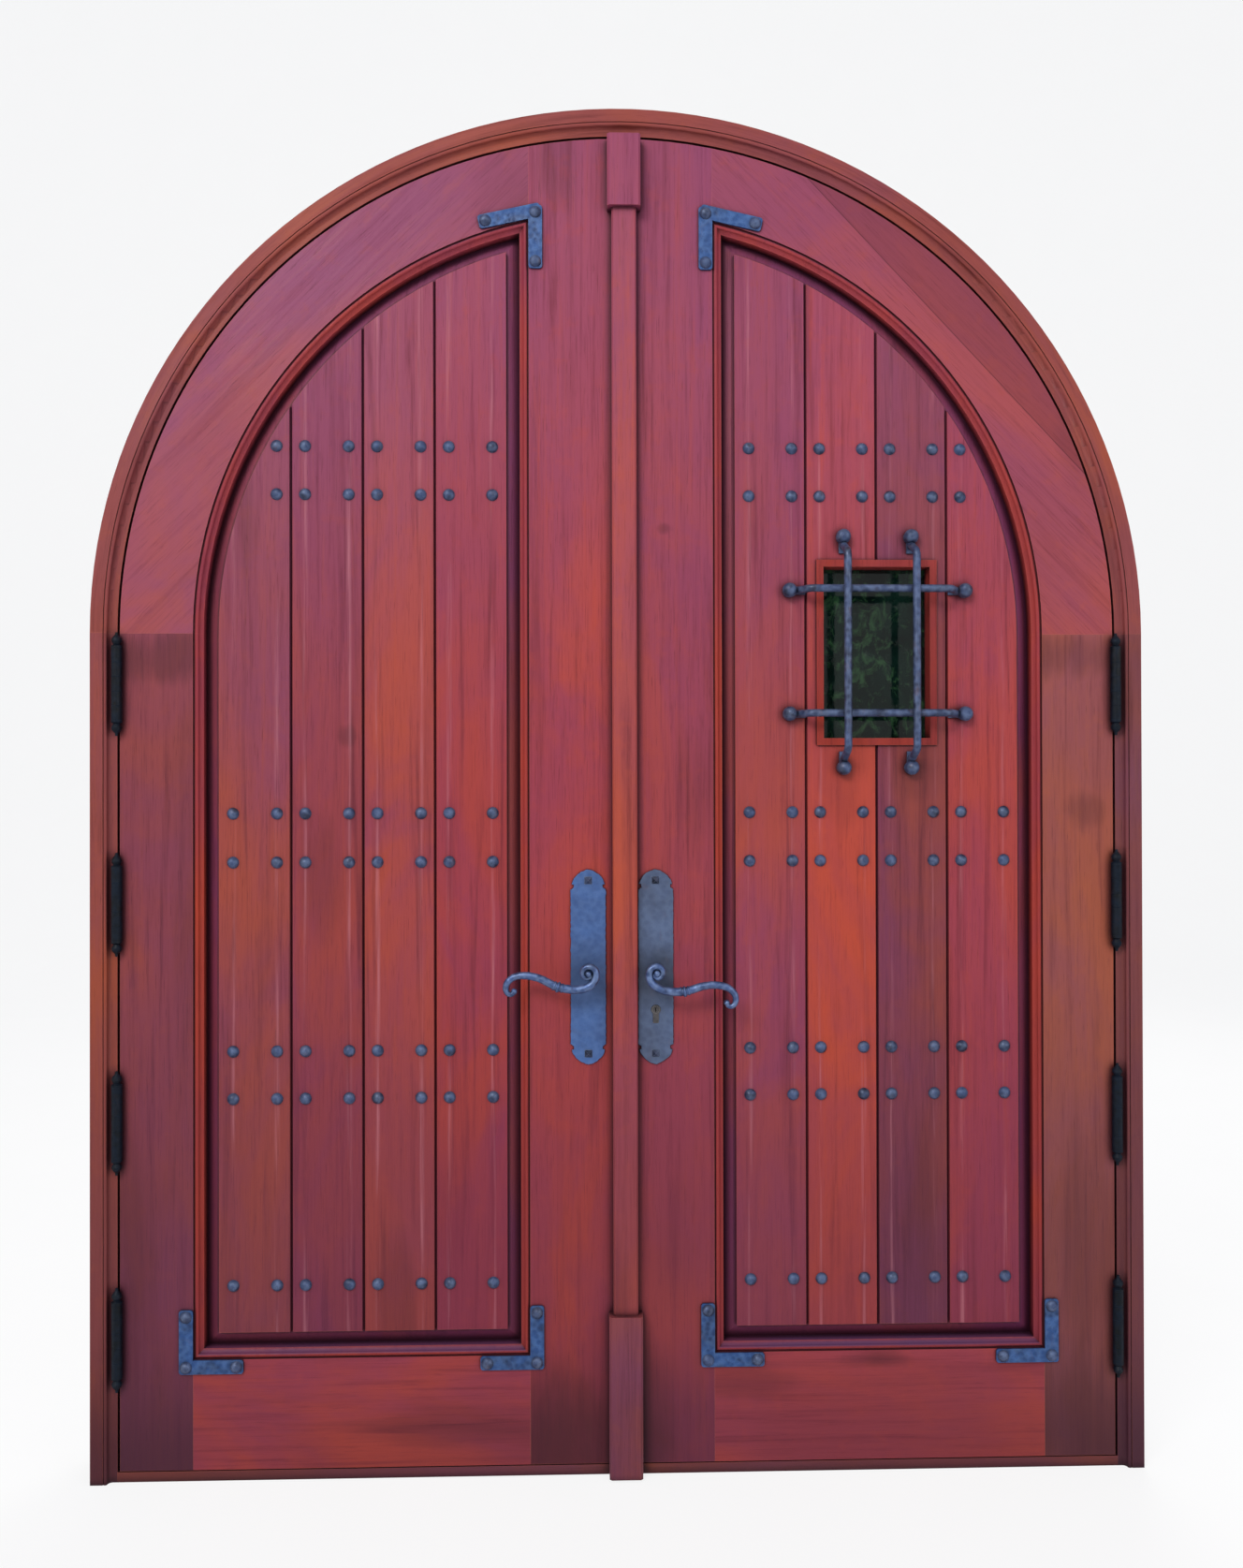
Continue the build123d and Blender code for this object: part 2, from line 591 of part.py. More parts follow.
def inner_moulding_section():
    """Inner moulding: quarter round against the back of the panel."""
    w = INNER_MOULDING_WIDTH
    y = PANEL_BACK_Y
    h = LEAF_BACK_Y - y - INNER_MOULDING_SETBACK
    turn = cos(radians(45))
    edges = [
        Edge.make_line((0, y), (w, y)),
        Edge.make_three_point_arc((w, y), (w * turn, y + h * turn), (0, y + h)),
        Edge.make_line((0, y + h), (0, y)),
    ]
    return Face(Wire(edges))


# Nails, rivets and corner straps

def clavo():
    """Round-headed nail at the origin, its head towards -Y."""
    cap_radius = (CLAVO_RADIUS**2 + CLAVO_RISE**2) / (2 * CLAVO_RISE)
    ball = Pos(0, cap_radius - CLAVO_RISE, 0) * Sphere(cap_radius)
    reach = 2 * CLAVO_RADIUS
    head = ball & block(-reach, reach, -CLAVO_RISE, 0, -reach, reach)
    return head + rod_y(CLAVO_SHANK_RADIUS, 0, 0, 0, CLAVO_SHANK_LENGTH)


def clavo_places():
    """Places (x, z) of the nails on the boards of the right leaf."""
    places = []
    for index in range(BOARD_COUNT):
        middle = FIELD_IN + (index + 0.5) * BOARD_WIDTH
        inner, outer = middle - CLAVO_OFFSET, middle + CLAVO_OFFSET
        places += [(x, z) for x in (inner, outer) for z in CLAVO_LOW_ROWS]
        places += [(inner, z) for z in CLAVO_TOP_ROWS]
        if index < BOARD_COUNT - 1:
            places += [(outer, z) for z in CLAVO_TOP_ROWS]
    return places


def clavo_holes():
    """Holes in the boards and the panel for the nails."""
    end = FIELD_Y + CLAVO_SHANK_LENGTH
    return [rod_y(CLAVO_SHANK_RADIUS, x, z, FIELD_Y, end) for x, z in clavo_places()]


def strap_corners():
    """Corners of the sight opening with a strap: point, and directions of its two arms in degrees."""
    top_z = arc_top(SIGHT_RADIUS, SIGHT_IN)
    slope = degrees(atan2(SIGHT_IN, top_z - SPRING_Z))
    return (
        ((SIGHT_IN, SIGHT_BOTTOM_Z), 90, 0),
        ((SIGHT_RADIUS, SIGHT_BOTTOM_Z), 90, 180),
        ((SIGHT_IN, top_z), -90, -slope),
    )


def arm_side(direction, other):
    """Side of an arm, +1 for left and -1 for right, on which the leaf's frame lies."""
    return -1 if sin(radians(other - direction)) > 0 else 1


def strap_arm(corner, direction, other):
    """One arm of a corner strap, its inner edge on the sight line."""
    side = arm_side(direction, other)
    half = side * STRAP_WIDTH / 2
    reach = STRAP_LENGTH - STRAP_WIDTH
    arm = Pos((reach - STRAP_WIDTH) / 2, half) * RectangleRounded(STRAP_LENGTH, STRAP_WIDTH, STRAP_WIDTH / 5)
    return Pos(corner[0], corner[1]) * Rot(0, 0, direction) * arm


def strap(corner, first, second):
    """Flat L strap over a corner joint of the leaf."""
    outline = strap_arm(corner, first, second) + strap_arm(corner, second, first)
    places = strap_rivets(corner, first, second)
    holes = [rod_y(CLAVO_SHANK_RADIUS, x, z, STRAP_Y, FACE_Y) for x, z in places]
    return slab(outline, STRAP_Y, FACE_Y) - holes


def strap_rivets(corner, first, second):
    """Places of the three rivets of a strap: both arm ends and the corner."""
    places = []
    end = STRAP_LENGTH - 1.5 * STRAP_WIDTH
    for direction, other in ((first, second), (second, first)):
        side = arm_side(direction, other) * STRAP_WIDTH / 2
        a = radians(direction)
        places.append((corner[0] + end * cos(a) - side * sin(a), corner[1] + end * sin(a) + side * cos(a)))
    a = radians(first)
    side = arm_side(first, second) * STRAP_WIDTH / 2
    back = -STRAP_WIDTH / 2
    places.append((corner[0] + back * cos(a) - side * sin(a), corner[1] + back * sin(a) + side * cos(a)))
    return places


def all_strap_rivets():
    """Places of the rivets of all straps of the right leaf."""
    return [place for corner in strap_corners() for place in strap_rivets(*corner)]


def strap_holes():
    """Holes in the leaf's frame for the strap rivets."""
    end = STRAP_Y + CLAVO_SHANK_LENGTH
    return [rod_y(CLAVO_SHANK_RADIUS, x, z, FACE_Y, end) for x, z in all_strap_rivets()]


def nails():
    """All round-headed nails and rivets of the right leaf."""
    on_boards = [Pos(x, FIELD_Y, z) * clavo() for x, z in clavo_places()]
    on_straps = [Pos(x, STRAP_Y, z) * clavo() for x, z in all_strap_rivets()]
    return on_boards + on_straps


# Astragal

def astragal_blank(extra, thickness, z0, z1):
    """Length of the astragal with softened front edges, relieved where it covers the left leaf."""
    x0 = -ASTRAGAL_OVERLAP - extra
    x1 = ASTRAGAL_WIDTH - ASTRAGAL_OVERLAP + extra
    blank = block(x0, x1, FACE_Y - thickness, FACE_Y, z0, z1)
    front = blank.edges().filter_by(Axis.Z).group_by(Axis.Y)[0]
    blank = chamfer(front, extra / 2 if extra else 3.0)
    return blank - block(x0, MEETING_GAP / 2, FACE_Y - ASTRAGAL_RELIEF, FACE_Y, z0, z1)


def top_block_span():
    """Heights of the top block."""
    top = LEAF_BOTTOM_Z + LEAF_HEIGHT - TOP_BLOCK_DROP
    return top - TOP_BLOCK_HEIGHT, top


# Window and grille

def window_box(width, height, y_front, y_back):
    """Upright rectangle centred on the window."""
    return Pos(WINDOW_X, (y_front + y_back) / 2, WINDOW_Z) * Box(width, y_back - y_front, height)


def window_hole():
    """Hole through the boards and the panel for the window casing."""
    wall = 2 * CASING_WALL
    return window_box(WINDOW_SIGHT_WIDTH + wall, WINDOW_SIGHT_HEIGHT + wall, FIELD_Y, LEAF_BACK_Y)


def window_casing():
    """Wooden casing with a thin lip on the boards and a rebate for the pane."""
    w, h = WINDOW_SIGHT_WIDTH, WINDOW_SIGHT_HEIGHT
    lip = 2 * (CASING_WALL + CASING_LIP)
    casing = window_hole()
    casing += window_box(w + lip, h + lip, FIELD_Y - CASING_LIP_THICKNESS, FIELD_Y)
    casing -= window_box(w, h, FIELD_Y - CASING_LIP_THICKNESS, LEAF_BACK_Y)
    rebate = 2 * PANE_REBATE
    return casing - window_box(w + rebate, h + rebate, FACE_Y + PANE_DEPTH, LEAF_BACK_Y)


def window_pane():
    """Glass pane in the rebate of the casing."""
    grow = 2 * (PANE_REBATE - PANE_PLAY)
    y = FACE_Y + PANE_DEPTH
    return window_box(WINDOW_SIGHT_WIDTH + grow, WINDOW_SIGHT_HEIGHT + grow, y, y + PANE_THICKNESS)


def glazing_stop():
    """Bead that holds the pane from inside."""
    grow = 2 * PANE_REBATE
    y = FACE_Y + PANE_DEPTH + PANE_THICKNESS
    stop = window_box(WINDOW_SIGHT_WIDTH + grow, WINDOW_SIGHT_HEIGHT + grow, y, LEAF_BACK_Y)
    return stop - window_box(WINDOW_SIGHT_WIDTH, WINDOW_SIGHT_HEIGHT, y, LEAF_BACK_Y)


def grille_bar(length, standoff):
    """Round bar along Z with ends bent back to flat feet, standing off the plane y = 0."""
    half = length / 2
    foot_y = -FOOT_THICKNESS / 2
    run = half - BAR_BEND_RUN
    route = FilletPolyline(
        (0, foot_y, -half), (0, foot_y, -half + FOOT_RADIUS), (0, -standoff, -run),
        (0, -standoff, run), (0, foot_y, half - FOOT_RADIUS), (0, foot_y, half),
        radius=BAR_BEND_RADIUS,
    )
    bar = sweep((route ^ 0) * Circle(BAR_RADIUS), path=route)
    reach = length
    bar &= block(-reach, reach, -reach, 0, -reach, reach)
    for side in (-1, 1):
        bar += rod_y(FOOT_RADIUS, 0, side * half, -FOOT_THICKNESS, 0)
        tongue = Box(2 * BAR_RADIUS, FOOT_THICKNESS, FOOT_TONGUE)
        bar += Pos(0, foot_y, side * (half - FOOT_TONGUE / 2)) * tongue
        bar -= Pos(0, 0, side * half) * rivet_ball(RIVET_BALL_RADIUS + RIVET_BALL_GAP)
        bar -= rod_y(RIVET_SHANK_RADIUS, 0, side * half, -FOOT_THICKNESS, 0)
    return bar


def grille_bars():
    """Two upright bars in front of two level bars."""
    upright = grille_bar(UPRIGHT_BAR_LENGTH, BAR_STANDOFF + 2 * BAR_RADIUS + BAR_CROSS_GAP)
    level = Rot(0, 90, 0) * grille_bar(LEVEL_BAR_LENGTH, BAR_STANDOFF)
    middle = Pos(WINDOW_X, FIELD_Y, WINDOW_Z)
    bars = [middle * Pos(side * UPRIGHT_BAR_SPACING / 2, 0, 0) * upright for side in (-1, 1)]
    bars += [middle * Pos(0, 0, side * LEVEL_BAR_SPACING / 2) * level for side in (-1, 1)]
    return bars


def grille_feet():
    """Places of the eight feet of the grille."""
    places = []
    for a in (-1, 1):
        for b in (-1, 1):
            places.append((WINDOW_X + a * UPRIGHT_BAR_SPACING / 2, WINDOW_Z + b * UPRIGHT_BAR_LENGTH / 2))
            places.append((WINDOW_X + a * LEVEL_BAR_LENGTH / 2, WINDOW_Z + b * LEVEL_BAR_SPACING / 2))
    return places


def rivet_ball(radius):
    """Ball of a rivet seated on a foot, the board's face at y = 0."""
    reach = 2 * radius
    ball = Pos(0, -FOOT_THICKNESS - RIVET_BALL_RADIUS * RIVET_BALL_SEAT, 0) * Sphere(radius)
    return ball & block(-reach, reach, -2 * reach, -FOOT_THICKNESS, -reach, reach)


def grille_rivet():
    """Ball-headed rivet on a foot, at the origin on the board."""
    shank = rod_y(RIVET_SHANK_RADIUS, 0, 0, -FOOT_THICKNESS, RIVET_SHANK_LENGTH)
    return rivet_ball(RIVET_BALL_RADIUS) + shank


def rivet_holes():
    """Holes in boards and panel for the grille rivets."""
    end = FIELD_Y + RIVET_SHANK_LENGTH
    return [rod_y(RIVET_SHANK_RADIUS, x, z, FIELD_Y, end) for x, z in grille_feet()]


# Escutcheons, levers, lock and bolts

def escutcheon_outline():
    """Long plate with rounded, notched ends, centred on the backset line."""
    half = ESCUTCHEON_HEIGHT / 2 - ESCUTCHEON_LOBE_RADIUS
    outline = Rectangle(ESCUTCHEON_WIDTH, 2 * half)
    for side in (-1, 1):
        outline += Pos(0, side * half) * Circle(ESCUTCHEON_LOBE_RADIUS)
        for edge in (-1, 1):
            outline -= Pos(edge * ESCUTCHEON_WIDTH / 2, side * half) * Circle(ESCUTCHEON_NOTCH_RADIUS)
    return Pos(BACKSET_X, ESCUTCHEON_CENTRE_Z) * outline


def screw_places():
    """Places of the two screws of an escutcheon."""
    reach = ESCUTCHEON_HEIGHT / 2 - SCREW_INSET
    return [(BACKSET_X, ESCUTCHEON_CENTRE_Z - reach), (BACKSET_X, ESCUTCHEON_CENTRE_Z + reach)]


def screw_holes():
    """Screw holes in both faces of the lock stile."""
    holes = [rod_y(SCREW_RADIUS, x, z, FACE_Y, FACE_Y + SCREW_LENGTH) for x, z in screw_places()]
    holes += [rod_y(SCREW_RADIUS, x, z, LEAF_BACK_Y - SCREW_LENGTH, LEAF_BACK_Y) for x, z in screw_places()]
    return holes


def escutcheon(keyed, inside):
    """Escutcheon of the right leaf on one face, with or without the cut for the cylinder."""
    y0, y1 = FACE_Y - ESCUTCHEON_THICKNESS, FACE_Y
    if inside:
        y0, y1 = LEAF_BACK_Y, LEAF_BACK_Y + ESCUTCHEON_THICKNESS
    plate = slab(escutcheon_outline(), y0, y1)
    plate -= rod_y(NECK_RADIUS + NECK_CLEARANCE, BACKSET_X, SPINDLE_Z, y0, y1)
    plate -= [rod_y(SCREW_RADIUS, x, z, y0, y1) for x, z in screw_places()]
    if keyed:
        plate -= cylinder_profile(0, y0, y1)
    return plate


def plate_screws():
    """Pyramid-headed screws of both escutcheons of the right leaf."""
    w = SCREW_HEAD_WIDTH
    tip = 0.5
    head = loft([Rectangle(w, w), Pos(0, 0, SCREW_HEAD_RISE) * Rectangle(tip, tip)])
    screw = head + Pos(0, 0, -SCREW_LENGTH / 2) * Cylinder(SCREW_RADIUS, SCREW_LENGTH)
    outside = Rot(90, 0, 0) * screw
    inside = Rot(-90, 0, 0) * screw
    screws = []
    for x, z in screw_places():
        screws.append(Pos(x, FACE_Y - ESCUTCHEON_THICKNESS, z) * outside)
        screws.append(Pos(x, LEAF_BACK_Y + ESCUTCHEON_THICKNESS, z) * inside)
    return screws


def lever_bar(y):
    """Scrolled bar of a lever in the plane at depth y, its spindle on x = 0, z = 0."""
    points = [(x, y, z) for x, z in LEVER_PATH]
    route = FilletPolyline(*points, radius=LEVER_BEND_RADIUS)
    bar = sweep((route ^ 0) * Circle(LEVER_RADIUS), path=route)
    bar += rod_y(SCROLL_RADIUS, 0, 0, y - SCROLL_THICKNESS / 2, y + SCROLL_THICKNESS / 2)
    x, z = LEVER_COLLAR_AT
    bar += Pos(x, y, z) * Rot(0, 90, 0) * Cylinder(LEVER_COLLAR_RADIUS, LEVER_COLLAR_LENGTH)
    end_x, end_y, end_z = points[-1]
    return bar + Pos(end_x, end_y, end_z) * Sphere(LEVER_RADIUS)


def outer_lever():
    """Outside lever with its neck and the square socket of the spindle."""
    y = FACE_Y - LEVER_STANDOFF
    lever = lever_bar(y) + rod_y(NECK_RADIUS, 0, 0, y, FACE_Y + NECK_SEAT)
    half = SPINDLE_SIDE / 2
    return lever - block(-half, half, FACE_Y - NECK_SEAT, FACE_Y + NECK_SEAT, -half, half)


def inner_lever():
    """Inside lever with its neck and the square spindle through the leaf."""
    y = LEAF_BACK_Y + LEVER_STANDOFF
    lever = lever_bar(y) + rod_y(NECK_RADIUS, 0, 0, LEAF_BACK_Y - NECK_SEAT, y)
    half = SPINDLE_SIDE / 2
    return lever + block(-half, half, FACE_Y - NECK_SEAT, LEAF_BACK_Y, -half, half)


def at_right_spindle(lever):
    """Lever on the spindle of the right leaf."""
    return Pos(BACKSET_X, 0, SPINDLE_Z) * lever


def at_left_spindle(lever):
    """Mirrored lever on the spindle of the left leaf, lifted as the photograph shows it."""
    return Pos(-BACKSET_X, 0, SPINDLE_Z) * Rot(0, LEFT_LEVER_LIFT, 0) * flip(lever)


def case_blank():
    """Outside of the lock case."""
    half_y = CASE_THICKNESS / 2
    half_z = CASE_HEIGHT / 2
    return block(
        FOREND_BACK_X, FOREND_BACK_X + CASE_LENGTH, MIDDLE_Y - half_y, MIDDLE_Y + half_y,
        CASE_CENTRE_Z - half_z, CASE_CENTRE_Z + half_z,
    )


def forend_blank():
    """Space of the lock's face plate in the meeting edge, and of the strike opposite."""
    half_y = FOREND_WIDTH / 2
    half_z = FOREND_HEIGHT / 2
    return block(
        0, FOREND_BACK_X, MIDDLE_Y - half_y, MIDDLE_Y + half_y,
        CASE_CENTRE_Z - half_z, CASE_CENTRE_Z + half_z,
    )


def face_plate():
    """Plate on the meeting edge, without its holes."""
    half_y = FOREND_WIDTH / 2
    half_z = FOREND_HEIGHT / 2
    return block(
        FOREND_SETBACK, FOREND_BACK_X, MIDDLE_Y - half_y, MIDDLE_Y + half_y,
        CASE_CENTRE_Z - half_z, CASE_CENTRE_Z + half_z,
    )


def bolt_block(x0, x1, z, grow):
    """Bar along X with the section of the latch and of the dead bolt."""
    half_y = BOLT_THICKNESS / 2 + grow
    half_z = BOLT_HEIGHT / 2 + grow
    return block(x0, x1, MIDDLE_Y - half_y, MIDDLE_Y + half_y, z - half_z, z + half_z)


def lock_case():
    """Hollow case with its face plate, open where bolts, spindle and cylinder pass."""
    case = case_blank()
    wall = CASE_WALL
    half_y = CASE_THICKNESS / 2 - wall
    half_z = CASE_HEIGHT / 2 - wall
    case -= block(
        FOREND_BACK_X + wall, FOREND_BACK_X + CASE_LENGTH - wall, MIDDLE_Y - half_y, MIDDLE_Y + half_y,
        CASE_CENTRE_Z - half_z, CASE_CENTRE_Z + half_z,
    )
    case += face_plate()
    for z in (LATCH_Z, BOLT_Z):
        case -= bolt_block(0, FOREND_BACK_X + wall, z, BOLT_CLEARANCE)
    case -= rod_y(SPINDLE_HOLE_RADIUS, BACKSET_X, SPINDLE_Z, FACE_Y, LEAF_BACK_Y)
    return case - cylinder_profile(0, FACE_Y, LEAF_BACK_Y)


def latch_bolt():
    """Sprung latch, its bevelled nose in the strike."""
    bolt = bolt_block(-LATCH_REACH, FOREND_BACK_X + BOLT_TAIL, LATCH_Z, 0)
    nose = bolt.edges().filter_by(Axis.Z).group_by(Axis.X)[0].sort_by(Axis.Y)[-1]
    return chamfer(nose, BOLT_THICKNESS * 0.6, LATCH_REACH * 0.6)


def dead_bolt():
    """Dead bolt, drawn back into the case."""
    return bolt_block(FOREND_SETBACK, FOREND_BACK_X + BOLT_TAIL, BOLT_Z, 0)


def bolt_pockets(depth):
    """Pockets in the left leaf for latch and dead bolt, roomy enough for both leaves to swing."""
    pockets = []
    half_y = BOLT_THICKNESS / 2
    half_z = BOLT_HEIGHT / 2 + POCKET_CLEARANCE
    for z in (LATCH_Z, BOLT_Z):
        pockets.append(block(
            -depth, 0, MIDDLE_Y - half_y - POCKET_SWING_CLEARANCE, MIDDLE_Y + half_y + POCKET_CLEARANCE,
            z - half_z, z + half_z,
        ))
    return pockets


def strike_plate():
    """Strike in the meeting edge of the left leaf."""
    return flip(face_plate()) - bolt_pockets(FOREND_BACK_X)


def cylinder_profile(shrink, y_front, y_back):
    """Keyhole-shaped bar along Y with the outline of the lock cylinder."""
    shape = rod_y(CYLINDER_RADIUS - shrink, BACKSET_X, CYLINDER_Z, y_front, y_back)
    half = CYLINDER_TAIL_WIDTH / 2 - shrink
    low = CYLINDER_Z - CYLINDER_TAIL_DROP + shrink
    return shape + block(BACKSET_X - half, BACKSET_X + half, y_front, y_back, low, CYLINDER_Z)


def cylinder_ends():
    """Depths of the outer and inner faces of the lock cylinder."""
    proud = ESCUTCHEON_THICKNESS + CYLINDER_PROUD
    return FACE_Y - proud, LEAF_BACK_Y + proud


def cylinder_body():
    """Housing of the key plug, through the whole leaf."""
    y0, y1 = cylinder_ends()
    body = cylinder_profile(0, y0, y1)
    return body - rod_y(PLUG_RADIUS + PLUG_CLEARANCE, BACKSET_X, CYLINDER_Z, y0, y1)


def key_plug():
    """Turning plug: key slot outside, thumb turn inside."""
    y0, y1 = cylinder_ends()
    plug = rod_y(PLUG_RADIUS, BACKSET_X, CYLINDER_Z, y0, y1)
    half_w = KEYWAY_WIDTH / 2
    half_h = KEYWAY_HEIGHT / 2
    plug -= block(
        BACKSET_X - half_w, BACKSET_X + half_w, y0, y0 + KEYWAY_DEPTH,
        CYLINDER_Z - half_h, CYLINDER_Z + half_h,
    )
    tab = Pos(BACKSET_X, y1 + THUMB_TURN_LENGTH / 2, CYLINDER_Z)
    tab *= Box(THUMB_TURN_THICKNESS, THUMB_TURN_LENGTH, THUMB_TURN_WIDTH)
    return plug + fillet(tab.edges().filter_by(Axis.Y), THUMB_TURN_THICKNESS / 3)


def gear_blank():
    """Outside of the gear case of the shoot bolts."""
    half_y = CASE_THICKNESS / 2
    half_z = GEAR_HEIGHT / 2
    return block(
        -GEAR_SETBACK - GEAR_LENGTH, -GEAR_SETBACK, MIDDLE_Y - half_y, MIDDLE_Y + half_y,
        SPINDLE_Z - half_z, SPINDLE_Z + half_z,
    )


def gear_case():
    """Hollow case that turns the lever's lift into the travel of both rods."""
    wall = CASE_WALL
    half_y = CASE_THICKNESS / 2 - wall
    half_z = GEAR_HEIGHT / 2 - wall
    case = gear_blank() - block(
        -GEAR_SETBACK - GEAR_LENGTH + wall, -GEAR_SETBACK - wall, MIDDLE_Y - half_y, MIDDLE_Y + half_y,
        SPINDLE_Z - half_z, SPINDLE_Z + half_z,
    )
    case -= rod_y(SPINDLE_HOLE_RADIUS, -BACKSET_X, SPINDLE_Z, FACE_Y, LEAF_BACK_Y)
    return case - rod_z(ROD_RADIUS + ROD_CLEARANCE, -ROD_X, MIDDLE_Y, LEAF_BOTTOM_Z, SPRING_Z)


def top_rod():
    """Shoot bolt from the gear case to the arched edge of the leaf."""
    low = SPINDLE_Z + GEAR_HEIGHT / 2 - ROD_IN_CASE
    high = arc_top(LEAF_RADIUS, ROD_X + ROD_RADIUS) - ROD_SETBACK
    return rod_z(ROD_RADIUS, -ROD_X, MIDDLE_Y, low, high)


def bottom_rod():
    """Shoot bolt from the gear case to the bottom edge of the leaf."""
    high = SPINDLE_Z - GEAR_HEIGHT / 2 + ROD_IN_CASE
    return rod_z(ROD_RADIUS, -ROD_X, MIDDLE_Y, LEAF_BOTTOM_Z + ROD_SETBACK, high)


def leaf_pieces(side, place):
    """Pieces that both leaves have, placed on one side."""
    nodes = {
        "hinge_stile": hinge_stile(),
        "arch_rail": arch_rail(),
        "bottom_rail": bottom_rail(),
        "corner_straps": group(strap(*corner) for corner in strap_corners()),
        "clavos": group(nails()),
        "hinge_plates": group(hinge_plate(z, False) for z in HINGE_HEIGHTS),
        "escutcheon_screws": group(plate_screws()),
    }
    lengths = moulding_lengths(moulding_section(), MOULDING_WIDTH)
    lengths += moulding_lengths(inner_moulding_section(), INNER_MOULDING_WIDTH)
    nodes["mouldings"] = group(lengths)
    return {side + "_" + name: place(piece) for name, piece in nodes.items()}


def all_nodes():
    """Every named piece of the door."""
    nodes = {
        "right_jamb": right_jamb(),
        "left_jamb": flip(right_jamb()),
        "arched_head": arched_head(),
        "threshold": threshold(),
        "weatherstrip": weatherstrip(),
        "hinge_frame_plates": both_sides(hinge_plate, True),
        "hinge_pins": both_sides(hinge_pin),
    }
    nodes.update(leaf_pieces("right", lambda piece: piece))
    nodes.update(leaf_pieces("left", flip))
    nodes["right_lock_stile"] = right_lock_stile()
    nodes["left_lock_stile"] = left_lock_stile()

    nail_holes = clavo_holes()
    window_cuts = [window_hole()] + rivet_holes()
    panel = panel_back() - nail_holes
    nodes["left_panel"] = flip(panel)
    nodes["right_panel"] = panel - window_cuts
    for index in range(BOARD_COUNT):
        plank = board(index) - nail_holes
        nodes[f"left_board_{index + 1}"] = flip(plank)
        nodes[f"right_board_{index + 1}"] = plank - window_cuts

    low, high = top_block_span()
    nodes["astragal_top_block"] = astragal_blank(BLOCK_EXTRA, BLOCK_THICKNESS, low, high)
    nodes["astragal_batten"] = astragal_blank(0, ASTRAGAL_THICKNESS, BOTTOM_BLOCK_TOP_Z, low)
    nodes["astragal_bottom_block"] = astragal_blank(
        BLOCK_EXTRA, BLOCK_THICKNESS, BOTTOM_BLOCK_Z, BOTTOM_BLOCK_TOP_Z
    )

    nodes["window_casing"] = window_casing()
    nodes["window_pane"] = window_pane()
    nodes["glazing_stop"] = glazing_stop()
    nodes["grille_bars"] = group(grille_bars())
    nodes["grille_rivets"] = group(Pos(x, FIELD_Y, z) * grille_rivet() for x, z in grille_feet())

    nodes["right_escutcheon"] = escutcheon(True, False)
    nodes["right_inner_escutcheon"] = escutcheon(True, True)
    nodes["left_escutcheon"] = flip(escutcheon(False, False))
    nodes["left_inner_escutcheon"] = flip(escutcheon(False, True))
    nodes["right_lever"] = at_right_spindle(outer_lever())
    nodes["right_inner_lever"] = at_right_spindle(inner_lever())
    nodes["left_lever"] = at_left_spindle(outer_lever())
    nodes["left_inner_lever"] = at_left_spindle(inner_lever())

    nodes["lock_case"] = lock_case()
    nodes["latch_bolt"] = latch_bolt()
    nodes["dead_bolt"] = dead_bolt()
    nodes["strike_plate"] = strike_plate()
    nodes["cylinder_body"] = cylinder_body()
    nodes["key_plug"] = key_plug()
    nodes["gear_case"] = gear_case()
    nodes["top_rod"] = top_rod()
    nodes["bottom_rod"] = bottom_rod()
    return nodes


os.makedirs("parts", exist_ok=True)
for node_name, node_shape in all_nodes().items():
    export_step(node_shape, f"parts/{node_name}.step")
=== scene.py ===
import json
import math
import random

import bpy
from mathutils import Matrix, Vector, noise


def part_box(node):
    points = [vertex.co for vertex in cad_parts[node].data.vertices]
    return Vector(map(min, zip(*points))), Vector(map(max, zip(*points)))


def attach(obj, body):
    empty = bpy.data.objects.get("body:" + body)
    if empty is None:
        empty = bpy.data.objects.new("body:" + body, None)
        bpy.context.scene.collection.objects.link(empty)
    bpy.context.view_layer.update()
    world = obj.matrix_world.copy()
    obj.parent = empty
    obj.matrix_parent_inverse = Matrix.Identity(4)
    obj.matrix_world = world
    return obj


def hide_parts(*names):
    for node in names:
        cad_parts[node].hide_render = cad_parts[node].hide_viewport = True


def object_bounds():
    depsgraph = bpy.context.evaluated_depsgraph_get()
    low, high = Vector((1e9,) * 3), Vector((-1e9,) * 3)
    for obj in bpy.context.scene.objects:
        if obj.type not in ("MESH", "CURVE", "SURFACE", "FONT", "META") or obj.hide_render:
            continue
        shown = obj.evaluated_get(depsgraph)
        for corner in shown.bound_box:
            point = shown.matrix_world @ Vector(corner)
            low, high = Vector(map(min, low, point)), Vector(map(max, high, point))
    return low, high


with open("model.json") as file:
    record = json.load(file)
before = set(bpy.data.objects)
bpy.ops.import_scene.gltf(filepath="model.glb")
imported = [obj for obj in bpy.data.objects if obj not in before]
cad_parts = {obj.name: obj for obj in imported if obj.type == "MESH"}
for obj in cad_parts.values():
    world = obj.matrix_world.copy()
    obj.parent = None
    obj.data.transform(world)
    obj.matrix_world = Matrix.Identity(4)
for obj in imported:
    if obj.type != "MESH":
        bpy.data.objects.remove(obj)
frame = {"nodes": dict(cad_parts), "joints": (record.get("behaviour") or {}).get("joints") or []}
cad_low, cad_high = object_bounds()

# Driving values, in metres.
LEAF_FACE_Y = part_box("right_lock_stile")[0].y
LEAF_BACK_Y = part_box("right_lock_stile")[1].y
SPRING_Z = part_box("right_hinge_stile")[1].z
JOINT = {joint["name"]: joint for joint in frame["joints"]}
SPINDLE_X, SPINDLE_Z = JOINT["right_lever_turn"]["pos_m"][0], JOINT["right_lever_turn"]["pos_m"][2]
KEY_Z = JOINT["key_turn"]["pos_m"][2]

